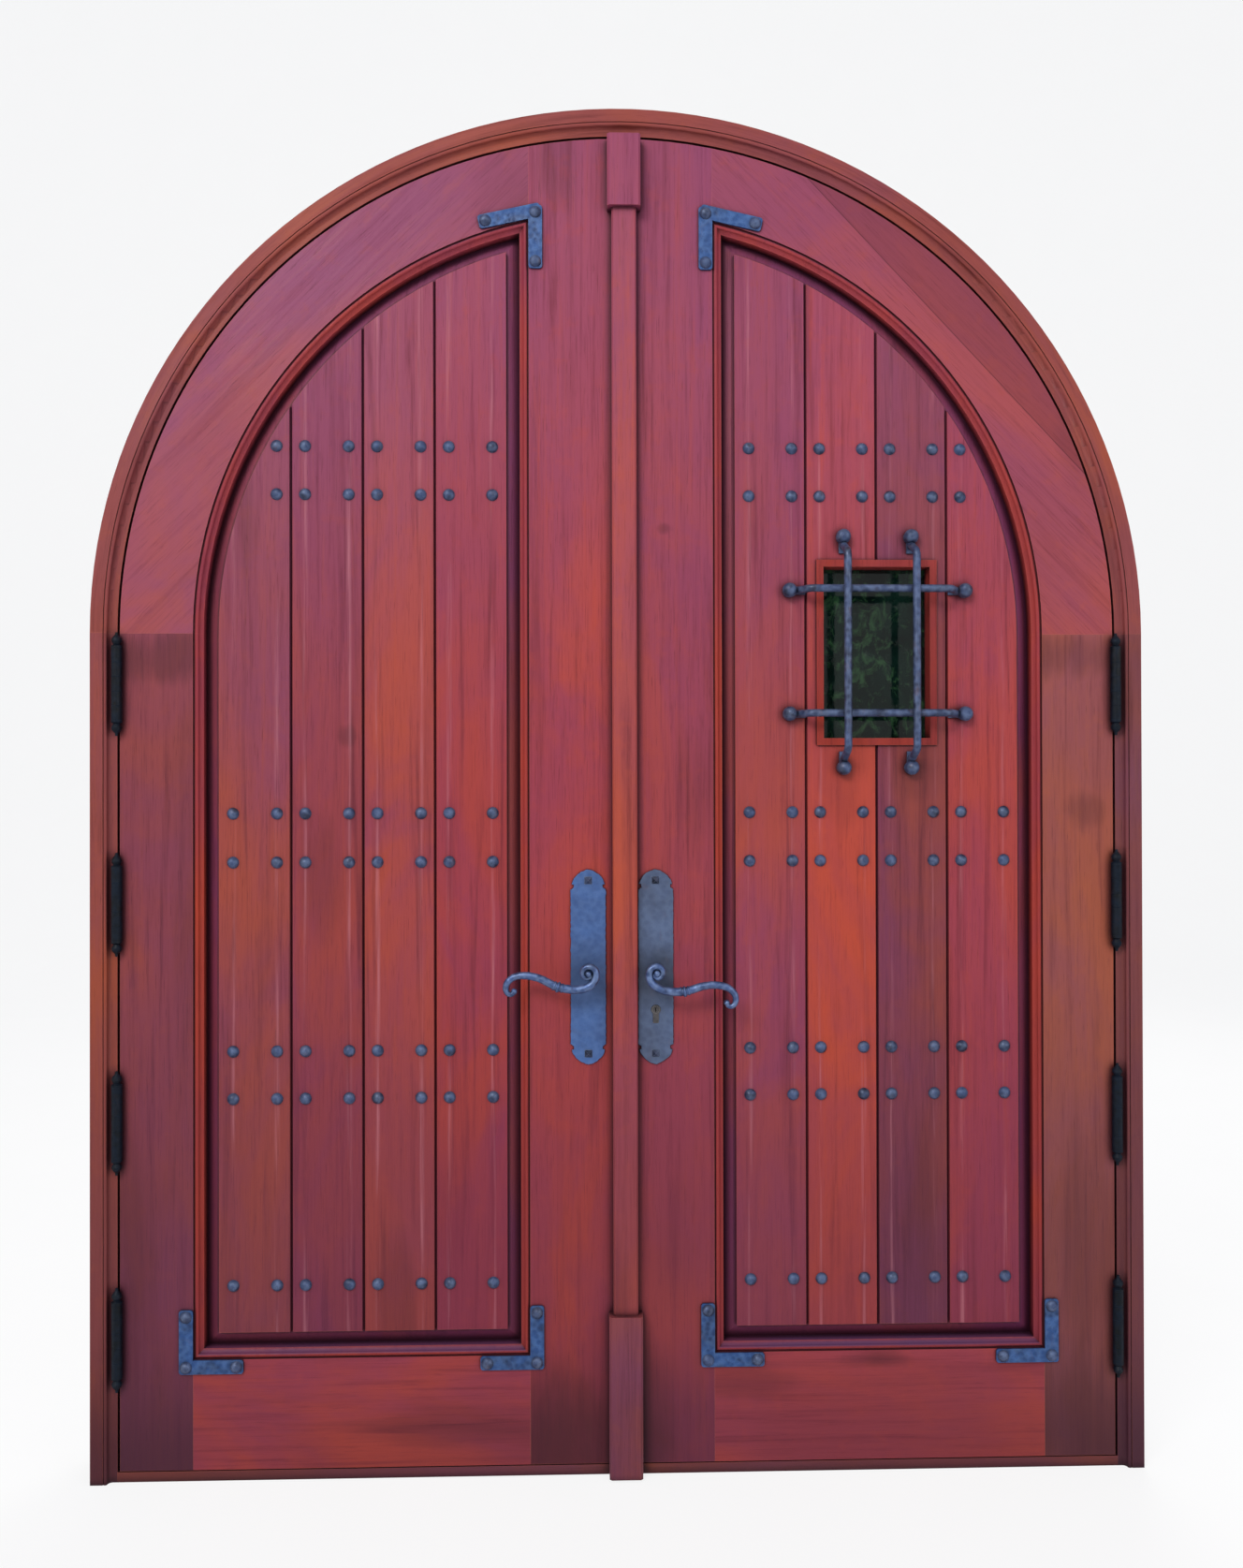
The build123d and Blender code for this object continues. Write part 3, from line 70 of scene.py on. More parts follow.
LEVER_STANDOFF = 0.045
LEFT_LEVER_LIFT = math.radians(10)
NECK_RADIUS = 0.009
PLATE_WIDTH, PLATE_HEIGHT, PLATE_THICKNESS = 0.065, 0.358, 0.003
PLATE_CENTRE_Z = 0.931
PLATE_LOBE, PLATE_NOTCH, PLATE_CHIP = 0.031, 0.0058, 0.0013
PLATE_LOBE_POINT, PLATE_RIM = 1.3, 0.0009
KEYHOLE_RADIUS, KEYHOLE_TAIL_WIDTH, KEYHOLE_TAIL_DROP = 0.0085, 0.010, 0.0245
CLAVO_OFFSET = 0.040

CAMERA_DISTANCE = 2.4
CAMERA_X, CAMERA_Z = -0.0688, 1.2552
CAMERA_YAW, CAMERA_PITCH, CAMERA_ROLL = 0.02856, 0.00492, -0.00216
LENS, SENSOR = 37.756, 36.0


def srgb(red, green, blue):
    """Screen colour from 0 to 255 as the linear colour of a shader socket."""
    parts = [channel / 255 for channel in (red, green, blue)]
    parts = [p / 12.92 if p <= 0.04045 else ((p + 0.055) / 1.055) ** 2.4 for p in parts]
    return (*parts, 1.0)


class Shader:
    """One procedural material, built node by node in the coordinates of its own body."""

    def __init__(self, name):
        self.material = bpy.data.materials.new(name)
        self.material.use_nodes = True
        self.tree = self.material.node_tree
        self.tree.nodes.clear()
        self.place = self.add("TexCoord").outputs["Object"]
        axes = self.add("SeparateXYZ", {0: self.place}).outputs
        self.x, self.y, self.z = axes[0], axes[1], axes[2]

    def add(self, kind, inputs=None, **settings):
        node = self.tree.nodes.new("ShaderNode" + kind)
        for key, value in settings.items():
            setattr(node, key, value)
        for key, value in (inputs or {}).items():
            if isinstance(value, bpy.types.NodeSocket):
                self.tree.links.new(value, node.inputs[key])
            else:
                node.inputs[key].default_value = value
        return node

    def math(self, operation, a, b=0.0, clamp=False):
        return self.add("Math", {0: a, 1: b}, operation=operation, use_clamp=clamp).outputs[0]

    def band(self, value, low, high, out_low=0.0, out_high=1.0):
        """Smooth step of a value from one range to another."""
        inputs = {"Value": value, "From Min": low, "From Max": high}
        inputs.update({"To Min": out_low, "To Max": out_high})
        return self.add("MapRange", inputs, interpolation_type="SMOOTHSTEP").outputs[0]

    def stretched(self, scale, turn=(0, 0, 0), source=None, shift=(0, 0, 0)):
        """Coordinates turned first and stretched after, so that grain can run at a slant."""
        turned_place = self.add("Mapping", {"Vector": source or self.place, "Rotation": turn}).outputs[0]
        return self.add("Mapping", {"Vector": turned_place, "Location": shift, "Scale": scale}).outputs[0]

    def noise(self, vector, scale=1.0, detail=4.0, roughness=0.55, distortion=0.0):
        inputs = {"Vector": vector, "Scale": scale, "Detail": detail, "Roughness": roughness}
        return self.add("TexNoise", {**inputs, "Distortion": distortion}).outputs["Fac"]

    def cells(self, vector, scale, feature="SMOOTH_F1"):
        node = self.add("TexVoronoi", {"Vector": vector, "Scale": scale}, feature=feature)
        return node.outputs["Distance"]

    def mix(self, factor, a, b, blend="MIX"):
        node = self.add("Mix", {0: factor, 6: a, 7: b}, data_type="RGBA", blend_type=blend)
        return node.outputs[2]

    def spot(self, x, z, radius_x, radius_z, ragged):
        """1 at a place on the face, falling to 0 at the ragged rim of an ellipse around it."""
        across = self.math("DIVIDE", self.math("SUBTRACT", self.x, x), radius_x)
        along = self.math("DIVIDE", self.math("SUBTRACT", self.z, z), radius_z)
        square = self.math("ADD", self.math("POWER", across, 2.0), self.math("POWER", along, 2.0))
        return self.band(self.math("ADD", square, ragged), 1.0, -0.1)

    def arris(self, radius, low=0.02, high=0.25):
        """1 on sharp edges, 0 on flat faces."""
        soft = self.add("Bevel", {"Radius": radius}, samples=4).outputs[0]
        sharp = self.add("NewGeometry").outputs["Normal"]
        turn = self.add("VectorMath", {0: soft, 1: sharp}, operation="DOT_PRODUCT").outputs["Value"]
        return self.band(self.math("SUBTRACT", 1.0, turn), low, high)

    def hollow(self, distance):
        """Mask used for painted shade: 1 deep in corners and grooves, 0 in the open."""
        open_share = self.add("AmbientOcclusion", {"Distance": distance}, samples=6).outputs["AO"]
        return self.band(open_share, 0.96, 0.42)

    def bump(self, height, strength, distance, normal=None):
        inputs = {"Height": height, "Strength": strength, "Distance": distance}
        if normal:
            inputs["Normal"] = normal
        return self.add("Bump", inputs).outputs[0]

    def finish(self, **inputs):
        named = {key.replace("_", " "): value for key, value in inputs.items()}
        surface = self.add("BsdfPrincipled", named).outputs[0]
        self.add("OutputMaterial", {"Surface": surface})
        return self.material


UP, ACROSS = (0, 0, 0), (0, math.pi / 2, 0)
STAIN_SHARE, RUN_HALF_WIDTH = 0.8, 0.007
JOINT_LINE = ((0.355, 2.381), (0.836, 1.873))


def curved_grain(shader):
    """Coordinates that follow the arch: distance from its centre, depth, length along the curve."""
    lift = shader.math("SUBTRACT", shader.z, SPRING_Z)
    square = shader.math("ADD", shader.math("POWER", shader.x, 2.0), shader.math("POWER", lift, 2.0))
    radius = shader.math("SQRT", square)
    angle = shader.math("ARCTAN2", lift, shader.x)
    return shader.add("CombineXYZ", {0: radius, 1: shader.y, 2: angle}).outputs[0]


def stained(s, tone, stains, rim):
    """Dark ragged stains; each is x, z, two radii and a strength."""
    for x, z, radius_x, radius_z, strength in stains:
        mark = s.math("MULTIPLY", s.spot(x, z, radius_x, radius_z, rim), STAIN_SHARE * strength)
        tone = s.mix(mark, tone, srgb(58, 24, 34))
    return tone


def washed(s, tone, runs):
    """Pale runs that rain has drawn below the nails, at the given x."""
    for x in runs:
        line = s.band(s.math("ABSOLUTE", s.math("SUBTRACT", s.x, x)), RUN_HALF_WIDTH, 0.0)
        wash = s.noise(s.stretched((90, 1, 2.6), UP, s.place, (x * 7, 0, 0)), 1.0, 4.0, 0.6)
        share = s.math("MULTIPLY", line, s.band(wash, 0.44, 0.72, 0.0, 0.42))
        tone = s.mix(share, tone, srgb(196, 128, 138))
    return tone


def wood(name, colour, grain=UP, seed=0, stains=(), runs=(), figure=1.0, joint=None, curved=False,
         low_shade=0.7, sky_reflection=0.62, dust_and_sky_reflection=0.0):
    """Oiled mahogany. The colour is the board's own; the last three arguments set the painted shade that
    darkens it towards the sill, the painted sky reflection that turns it plum near the top, and the
    painted bluish sky reflection on faces that look up."""
    s = Shader(name)
    source = curved_grain(s) if curved else s.place
    shift = (seed * 0.37, seed * 0.11, seed * 0.73)
    streaks = s.noise(s.stretched((70, 70, 2.2), grain, source, shift), 1.0, 8.0, 0.62, 0.45)
    fine = s.noise(s.stretched((420, 420, 9), grain, source, shift), 1.0, 3.0, 0.7)
    pores = s.noise(s.stretched((900, 900, 22), grain, source, shift), 1.0, 2.0, 0.5)
    ribbon = s.noise(s.stretched((16, 16, 0.8), grain, source, shift), 1.0, 5.0, 0.6, 0.9)
    cloud = s.noise(s.stretched((4.2, 4.2, 1.7), grain, source, shift), 1.0, 4.0, 0.6, 0.6)
    drift_place = s.stretched((2.6, 2.6, 2.0), UP, s.place, (seed * 1.3, 5.0, seed * 0.9))
    drift = s.noise(drift_place, 1.0, 3.0, 0.5)
    figured = s.noise(s.stretched((30, 30, 26), grain, source, shift), 1.0, 3.0, 0.6)

    warm = (min(colour[0] * 1.36, 1.0), colour[1] * 1.32, colour[2] * 0.62, 1.0)
    plum = (colour[0] * 0.86, colour[1] * 0.92, colour[2] * 1.75, 1.0)
    # plum of the painted sky reflection near the top of the door
    painted_sky_tone = srgb(134, 68, 104)
    dark = (colour[0] * 0.34, colour[1] * 0.28, colour[2] * 0.42, 1.0)
    # bluish dark of the painted shade low on the door
    shade = (colour[0] * 0.42, colour[1] * 0.50, colour[2] * 0.95, 1.0)

    tone = s.mix(s.band(cloud, 0.38, 0.66), plum, warm)
    tone = s.mix(s.band(drift, 0.30, 0.70, 0.10, 0.70), tone, colour)
    # painted reflection: the wood turns plum towards the top, as if reflecting the sky
    tone = s.mix(s.band(s.z, 1.15, 2.35, 0.0, sky_reflection), tone, painted_sky_tone)
    tone = s.mix(s.band(ribbon, 0.54, 0.74, 0.0, 0.42 * figure), tone, dark)
    tone = s.mix(s.band(streaks, 0.50, 0.78, 0.0, 0.62 * figure), tone, dark)
    tone = s.mix(s.band(streaks, 0.50, 0.24, 0.0, 0.34 * figure), tone, warm)
    tone = s.mix(s.band(fine, 0.50, 0.78, 0.0, 0.40), tone, dark)
    tone = s.mix(s.band(pores, 0.62, 0.74, 0.0, 0.55), tone, dark)
    tone = s.mix(s.band(figured, 0.52, 0.72, 0.0, 0.16), tone, warm)

    # painted shade: darker and bluer towards the bottom, where less light falls
    tone = s.mix(s.band(s.z, 1.15, 0.25, 0.0, 0.75 * low_shade), tone, shade)
    # painted shade in patches close to the sill
    sill_shade = s.math("MULTIPLY", s.band(s.z, 0.30, 0.02), s.band(drift, 0.25, 0.60, 0.45, 1.0))
    tone = s.mix(s.math("MULTIPLY", sill_shade, low_shade), tone, srgb(52, 24, 38))
    rim = s.math("ADD", s.band(cloud, 0.30, 0.70, 0.55, -0.35), s.band(ribbon, 0.30, 0.70, 0.35, -0.25))
    tone = stained(s, tone, stains, rim)
    tone = washed(s, tone, runs)
    if joint:
        tone = joint(s, tone, dark)
    # painted reflection: faces that look up turn bluish-purple, as if reflecting the sky
    if dust_and_sky_reflection:
        upward = s.add("SeparateXYZ", {0: s.add("NewGeometry").outputs["Normal"]}).outputs[2]
        sky_reflection_share = s.math("MULTIPLY", s.band(upward, 0.15, 0.75), s.band(drift, 0.25, 0.65, 0.5, 1.0))
        tone = s.mix(s.math("MULTIPLY", sky_reflection_share, dust_and_sky_reflection), tone, srgb(74, 54, 92))

    edge = s.arris(0.0012)
    # pale edges: partly wear, partly painted highlight where the edges catch the light
    wear_and_edge_highlight = s.math("MULTIPLY", edge, s.band(ribbon, 0.30, 0.62, 0.08, 0.50))
    tone = s.mix(wear_and_edge_highlight, tone, srgb(206, 118, 88))
    # painted shade: dark in grooves, gaps and corners
    groove_shade = s.hollow(0.018)
    tone = s.mix(s.math("MULTIPLY", groove_shade, 0.88), tone, srgb(28, 8, 18))

    gloss = s.math("ADD", s.band(streaks, 0.3, 0.7, 0.40, 0.56), s.band(drift, 0.3, 0.7, -0.04, 0.08))
    height = s.math("ADD", s.math("MULTIPLY", streaks, 0.7), s.math("MULTIPLY", fine, 0.3))
    normal = s.bump(height, 0.28, 0.0007)
    normal = s.bump(s.band(pores, 0.60, 0.76, 1.0, 0.0), 0.35, 0.0003, normal)
    return s.finish(Base_Color=tone, Roughness=gloss, Normal=normal, Specular_IOR_Level=0.17)


def chord_joint(s, tone, dark):
    """Straight glue line of the right arch rail, with a darker board outside it."""
    first, second = [Vector(end) for end in JOINT_LINE]
    along = (second - first).normalized()
    normal = Vector((-along.y, along.x))
    reach = normal.dot(first)
    across = s.math("ADD", s.math("MULTIPLY", s.x, normal.x), s.math("MULTIPLY", s.z, normal.y))
    across = s.math("SUBTRACT", across, reach)
    tone = s.mix(s.band(across, -0.0008, 0.0008, 0.0, 0.34), tone, dark)
    return s.mix(s.band(s.math("ABSOLUTE", across), 0.0016, 0.0, 0.0, 0.7), tone, srgb(60, 22, 30))


def iron(name, dark, middle, light, rust=0.4, hammer=1.0, gloss=(0.36, 0.62), metallic=0.35, mirror=0.5,
         pits=0.45, wear_and_edge_highlight=0.55,
         cloud_scale=24, grime_and_lever_shadow=0.0):
    """Forged iron: hammered facets, cloudy blue-grey scale whose blue is partly painted sky reflection,
    brown rust, pale edges that are partly wear and partly painted highlight, and painted shade in hollows.
    One argument darkens it around the spindle, partly grime from hands and partly the painted shadow of
    the lever."""
    s = Shader(name)
    cloud = s.noise(s.stretched((cloud_scale, cloud_scale, cloud_scale)), 1.0, 6.0, 0.62, 0.7)
    grit = s.noise(s.stretched((420, 420, 420)), 1.0, 4.0, 0.7)
    facets = s.cells(s.stretched((1, 1, 1)), 105.0)
    patches = s.noise(s.stretched((46, 46, 30), UP, s.place, (3, 7, 1)), 1.0, 6.0, 0.66, 0.4)
    tone = s.mix(s.band(cloud, 0.30, 0.62), dark, middle)
    tone = s.mix(s.band(facets, 0.20, 0.70, 0.0, 0.30 * hammer), tone, light)
    tone = s.mix(s.band(grit, 0.50, 0.70, 0.0, pits), tone, dark)
    if grime_and_lever_shadow:
        # darker around the spindle: partly grime from hands, partly painted shadow of the lever
        away = s.math("ABSOLUTE", s.math("SUBTRACT", s.z, SPINDLE_Z - 0.012))
        tone = s.mix(s.band(away, 0.085, 0.01, 0.0, grime_and_lever_shadow), tone, srgb(34, 36, 46))
    tone = s.mix(s.band(patches, 0.56, 0.70, 0.0, rust), tone, srgb(96, 66, 58))
    # pale edges: partly wear, partly painted highlight where the edges catch the light
    tone = s.mix(s.math("MULTIPLY", s.arris(0.0009), wear_and_edge_highlight), tone, light)
    # painted shade: dark in hollows and around raised parts
    tone = s.mix(s.math("MULTIPLY", s.hollow(0.006), 0.65), tone, srgb(12, 16, 26))
    rough = s.math("ADD", s.band(cloud, 0.3, 0.7, *gloss), s.band(grit, 0.4, 0.7, 0.0, 0.12))
    normal = s.bump(facets, 0.55 * hammer, 0.0016)
    normal = s.bump(grit, 0.30, 0.0004, normal)
    return s.finish(Base_Color=tone, Roughness=rough, Normal=normal, Metallic=metallic,
                    Specular_IOR_Level=mirror)


def metal(name, base, tarnish, roughness):
    """Drawn metal of the lock parts: fine lines, tarnish clouds and pale edges."""
    s = Shader(name)
    lines = s.noise(s.stretched((60, 900, 900)), 1.0, 3.0, 0.6)
    cloud = s.noise(s.stretched((34, 34, 34)), 1.0, 5.0, 0.6)
    tone = s.mix(s.band(cloud, 0.42, 0.68, 0.0, 0.65), base, tarnish)
    tone = s.mix(s.math("MULTIPLY", s.arris(0.0005), 0.4), tone, srgb(226, 224, 214))
    rough = s.band(lines, 0.3, 0.7, roughness, roughness + 0.18)
    rough = s.math("ADD", rough, s.band(cloud, 0.4, 0.7, 0, 0.1))
    return s.finish(Base_Color=tone, Roughness=rough, Normal=s.bump(lines, 0.2, 0.0002), Metallic=0.95)


def dark_glass(name):
    """Old tinted pane: nearly black, with green clouds painted as a reflection of foliage, gently wavy and
    dusty.
    """
    s = Shader(name)
    wave = s.noise(s.stretched((14, 14, 9)), 1.0, 3.0, 0.5, 0.6)
    dust_and_sky_reflection = s.noise(s.stretched((60, 60, 60)), 1.0, 6.0, 0.7)
    leaf = s.noise(s.stretched((34, 34, 26)), 1.0, 7.0, 0.72, 0.8)
    tone = s.mix(s.band(wave, 0.35, 0.65), srgb(4, 14, 12), srgb(12, 32, 26))
    # painted reflection: green clouds of foliage seen in the pane
    tone = s.mix(s.band(leaf, 0.50, 0.68, 0.0, 0.8), tone, srgb(50, 82, 52))
    tone = s.mix(s.band(dust_and_sky_reflection, 0.55, 0.78, 0.0, 0.25), tone, srgb(84, 92, 84))
    rough = s.band(dust_and_sky_reflection, 0.4, 0.75, 0.04, 0.22)
    return s.finish(Base_Color=tone, Roughness=rough, Normal=s.bump(wave, 0.25, 0.004),
                    Transmission_Weight=0.1, IOR=1.5, Specular_IOR_Level=0.18)


def rubber(name):
    """Black ribbed seal, dusty in places."""
    s = Shader(name)
    ribs = s.math("SINE", s.math("MULTIPLY", s.y, 2600.0))
    dust_and_sky_reflection = s.noise(s.stretched((120, 120, 120)), 1.0, 5.0, 0.65)
    tone = s.mix(s.band(dust_and_sky_reflection, 0.5, 0.75, 0.0, 0.5), srgb(20, 20, 22), srgb(74, 70, 68))
    rough = s.band(dust_and_sky_reflection, 0.3, 0.7, 0.6, 0.85)
    return s.finish(Base_Color=tone, Roughness=rough, Normal=s.bump(ribs, 0.3, 0.0003))


def dress(node_name, material):
    """Gives a CAD node its material in every slot."""
    mesh = frame["nodes"][node_name].data
    for index in range(max(1, len(mesh.materials))):
        if index < len(mesh.materials):
            mesh.materials[index] = material
        else:
            mesh.materials.append(material)


def middle_x(node_name):
    low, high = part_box(node_name)
    return (low.x + high.x) / 2


# Wood of the leaves and of the frame.
slant = math.radians(45)
dress("right_hinge_stile", wood(
    "right_hinge_stile_wood", srgb(140, 72, 62), UP, 1,
    [(0.84, 1.50, 0.16, 0.06, 0.6), (0.86, 1.218, 0.05, 0.05, 0.5), (0.87, 0.42, 0.16, 0.30, 0.45),
     (0.83, 0.10, 0.14, 0.16, 0.5)], figure=0.9, sky_reflection=0.35))
dress("left_hinge_stile", wood(
    "left_hinge_stile_wood", srgb(124, 56, 62), UP, 2,
    [(-0.84, 1.50, 0.18, 0.06, 0.6), (-0.88, 0.35, 0.10, 0.35, 0.45), (-0.78, 1.0, 0.06, 0.5, 0.3)]))
dress("right_lock_stile", wood(
    "right_lock_stile_wood", srgb(144, 58, 62), UP, 3,
    [(0.079, 1.738, 0.020, 0.014, 0.5), (0.06, 0.10, 0.10, 0.16, 0.75), (0.14, 1.26, 0.05, 0.20, 0.35),
     (0.10, 0.45, 0.06, 0.18, 0.25)]))
dress("left_lock_stile", wood(
    "left_lock_stile_wood", srgb(152, 58, 56), UP, 4,
    [(-0.198, 1.218, 0.035, 0.055, 0.85), (-0.10, 0.09, 0.12, 0.14, 0.75),
     (-0.12, 2.42, 0.06, 0.12, 0.35)]))
dress("right_arch_rail", wood(
    "right_arch_rail_wood", srgb(150, 66, 62), (0, slant, 0), 5,
    [(0.86, 1.90, 0.06, 0.22, 0.2)], figure=0.5, joint=chord_joint,
    sky_reflection=0.45))
dress("left_arch_rail", wood(
    "left_arch_rail_wood", srgb(142, 66, 72), (0, -slant, 0), 6,
    [(-0.20, 2.36, 0.10, 0.10, 0.2)], figure=0.5,
    sky_reflection=0.5))
dress("right_bottom_rail", wood(
    "right_bottom_rail_wood", srgb(158, 62, 62), ACROSS, 7,
    [(0.47, 0.215, 0.10, 0.03, 0.8), (0.22, 0.16, 0.12, 0.05, 0.4)], low_shade=0.35))
dress("left_bottom_rail", wood(
    "left_bottom_rail_wood", srgb(154, 60, 60), ACROSS, 8, [(-0.30, 0.10, 0.25, 0.05, 0.4)], low_shade=0.35))
dress("astragal_batten", wood(
    "astragal_batten_wood", srgb(156, 68, 60), UP, 9, [(-0.01, 0.35, 0.03, 0.16, 0.3)]))
dress("astragal_top_block", wood("astragal_top_block_wood", srgb(150, 62, 70), UP, 10))
dress("astragal_bottom_block", wood("astragal_bottom_block_wood", srgb(134, 66, 66), UP, 11, low_shade=0.4))

BOARD_TONES = {
    "right": [srgb(142, 60, 66), srgb(164, 64, 54), srgb(120, 54, 60), srgb(150, 57, 60)],
    "left": [srgb(144, 54, 60), srgb(144, 60, 60), srgb(132, 54, 62), srgb(134, 60, 62)],
}
BOARD_STAINS = {
    "right_board_3": [(0.545, 0.42, 0.06, 0.30, 0.4), (0.54, 1.28, 0.06, 0.06, 0.35)],
    "right_board_2": [(0.40, 1.26, 0.05, 0.10, 0.25)],
    "left_board_3": [(-0.507, 1.356, 0.020, 0.026, 0.5), (-0.56, 1.10, 0.05, 0.14, 0.3)],
    "left_board_4": [(-0.70, 1.75, 0.05, 0.20, 0.3)],
    "left_board_2": [(-0.42, 0.35, 0.05, 0.14, 0.35)],
}
for side, tones in BOARD_TONES.items():
    for index, tone in enumerate(tones, start=1):
        board = f"{side}_board_{index}"
        columns = [middle_x(board) - CLAVO_OFFSET, middle_x(board) + CLAVO_OFFSET]
        seed = 20 + index + (10 if side == "left" else 0)
        dress(board, wood(f"{board}_wood", tone, UP, seed, BOARD_STAINS.get(board, ()), columns))
    # the panel's dark plum colour is partly its own tone, partly painted shade of the sunken bevel
    dress(f"{side}_panel", wood(f"{side}_panel_wood", srgb(118, 48, 62), UP, 41 if side == "left" else 42,
                                sky_reflection=0.5, dust_and_sky_reflection=0.6))
    dress(f"{side}_mouldings", wood(f"{side}_mouldings_wood", srgb(144, 50, 48), UP, 43, figure=0.5,
                                    low_shade=0.4, sky_reflection=0.15, dust_and_sky_reflection=0.85))

frame_tone = srgb(136, 64, 50)
dress("right_jamb", wood("right_jamb_wood", srgb(114, 58, 56), UP, 51, figure=1.1, sky_reflection=0.1))
dress("left_jamb", wood("left_jamb_wood", frame_tone, UP, 52, figure=1.1, sky_reflection=0.1))
dress("arched_head", wood("arched_head_wood", frame_tone, UP, 53, figure=1.0, curved=True, sky_reflection=0.12))
dress("threshold", wood("threshold_wood", srgb(118, 58, 52), ACROSS, 54, low_shade=0.3))
dress("window_casing", wood("window_casing_wood", srgb(136, 46, 42), UP, 55, sky_reflection=0.3))
dress("glazing_stop", wood("glazing_stop_wood", srgb(150, 60, 58), UP, 56, sky_reflection=0.3))

# Metal, glass and rubber.
# the blue of these iron tones is partly painted sky reflection
forged = iron("forged_iron_scale", srgb(26, 34, 56), srgb(56, 72, 108), srgb(120, 138, 172), rust=0.3)
lever_iron = iron("lever_iron_scale", srgb(30, 42, 72), srgb(72, 94, 140), srgb(156, 178, 214), rust=0.15,
                  hammer=0.8, gloss=(0.26, 0.46), metallic=0.6, pits=0.35, wear_and_edge_highlight=0.7)
screw_iron = iron("screw_iron_scale", srgb(16, 22, 36), srgb(54, 66, 94), srgb(156, 170, 198), rust=0.2,
                  hammer=0.4, gloss=(0.3, 0.5), wear_and_edge_highlight=0.8)
strap_iron = iron("strap_iron_scale", srgb(20, 42, 78), srgb(36, 72, 126), srgb(92, 128, 180),
                  rust=0.12, pits=0.35)
hinge_iron = iron("hinge_iron_scale", srgb(0, 4, 8), srgb(4, 14, 26), srgb(24, 42, 64),
                  rust=0.04, hammer=0.5, metallic=0.0, mirror=0.16)
steel = metal("lock_steel_drawn", srgb(176, 178, 180), srgb(112, 108, 104), 0.26)
key_metal = metal("key_metal_weathered", srgb(84, 82, 84), srgb(36, 36, 42), 0.42)

for node in ("hinge_frame_plates", "hinge_pins", "right_hinge_plates", "left_hinge_plates"):
    dress(node, hinge_iron)
for node in ("right_corner_straps", "left_corner_straps"):
    dress(node, strap_iron)
for node in ("right_clavos", "left_clavos", "grille_bars", "grille_rivets"):
    dress(node, forged)
for node in ("right_escutcheon_screws", "left_escutcheon_screws"):
    dress(node, screw_iron)
for node in ("lock_case", "latch_bolt", "dead_bolt", "strike_plate", "gear_case", "top_rod", "bottom_rod"):
    dress(node, steel)
for node in ("cylinder_body", "key_plug"):
    dress(node, key_metal)
dress("window_pane", dark_glass("tinted_pane"))
dress("weatherstrip", rubber("seal_rubber_black"))


def smooth_path(points, steps):
    """Catmull-Rom curve through points of any size, ends included."""
    padded = [points[0], *points, points[-1]]
    curve = []
    for i in range(len(points) - 1):
        a, b, c, d = padded[i:i + 4]
        for k in range(steps):
            t = k / steps
            curve.append((2 * b + (c - a) * t + (2 * a - 5 * b + 4 * c - d) * t ** 2
                          + (3 * b - a - 3 * c + d) * t ** 3) / 2)
    return [*curve, points[-1]]


def new_piece(name, vertices, faces, body, material, node, smooth=True):
    """Mesh object that stands for a CAD node and rides on its body."""
    mesh = bpy.data.meshes.new(name)
    mesh.from_pydata([tuple(v) for v in vertices], [], faces)
    mesh.validate()
    mesh.update()
    for polygon in mesh.polygons:
        polygon.use_smooth = smooth
    mesh.materials.append(material)
    piece = bpy.data.objects.new(name, mesh)
    bpy.context.scene.collection.objects.link(piece)
    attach(piece, body)
    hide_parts(node)
    return piece


def tube(centres, radii, sides=28, squash=1.0):
    """Vertices and faces of a closed round bar along a flat path in the XZ plane."""
    vertices, faces = [], []
    for i, centre in enumerate(centres):
        tangent = (centres[min(i + 1, len(centres) - 1)] - centres[max(i - 1, 0)]).normalized()
        inward = Vector((tangent.z, 0, -tangent.x))
        for k in range(sides):
            angle = 2 * math.pi * k / sides
            spread = inward * math.cos(angle) + Vector((0, squash * math.sin(angle), 0))
            vertices.append(centre + spread * radii[i])
    for i in range(len(centres) - 1):
        for k in range(sides):
            a, b = i * sides + k, i * sides + (k + 1) % sides
            faces.append((a, b, b + sides, a + sides))
    for ring, centre in ((0, centres[0]), (len(centres) - 1, centres[-1])):
        tip = len(vertices)
        vertices.append(centre)
        for k in range(sides):
            pair = (ring * sides + k, ring * sides + (k + 1) % sides)
            faces.append((tip, *(reversed(pair) if ring == 0 else pair)))
    return vertices, faces


def turned(profile, centre, sides=40):
    """Vertices and faces of a solid turned about an axis along Y; profile holds (radius, y)."""
    vertices, faces = [], []
    for radius, y in profile:
        for k in range(sides):
            angle = 2 * math.pi * k / sides
            x, z = centre[0] + radius * math.cos(angle), centre[1] + radius * math.sin(angle)
            vertices.append(Vector((x, y, z)))
    for i in range(len(profile) - 1):
        for k in range(sides):
            a, b = i * sides + k, i * sides + (k + 1) % sides
            faces.append((a, b, b + sides, a + sides))
    faces.append(tuple(range(sides)))
    faces.append(tuple(reversed(range((len(profile) - 1) * sides, len(profile) * sides))))
    return vertices, faces


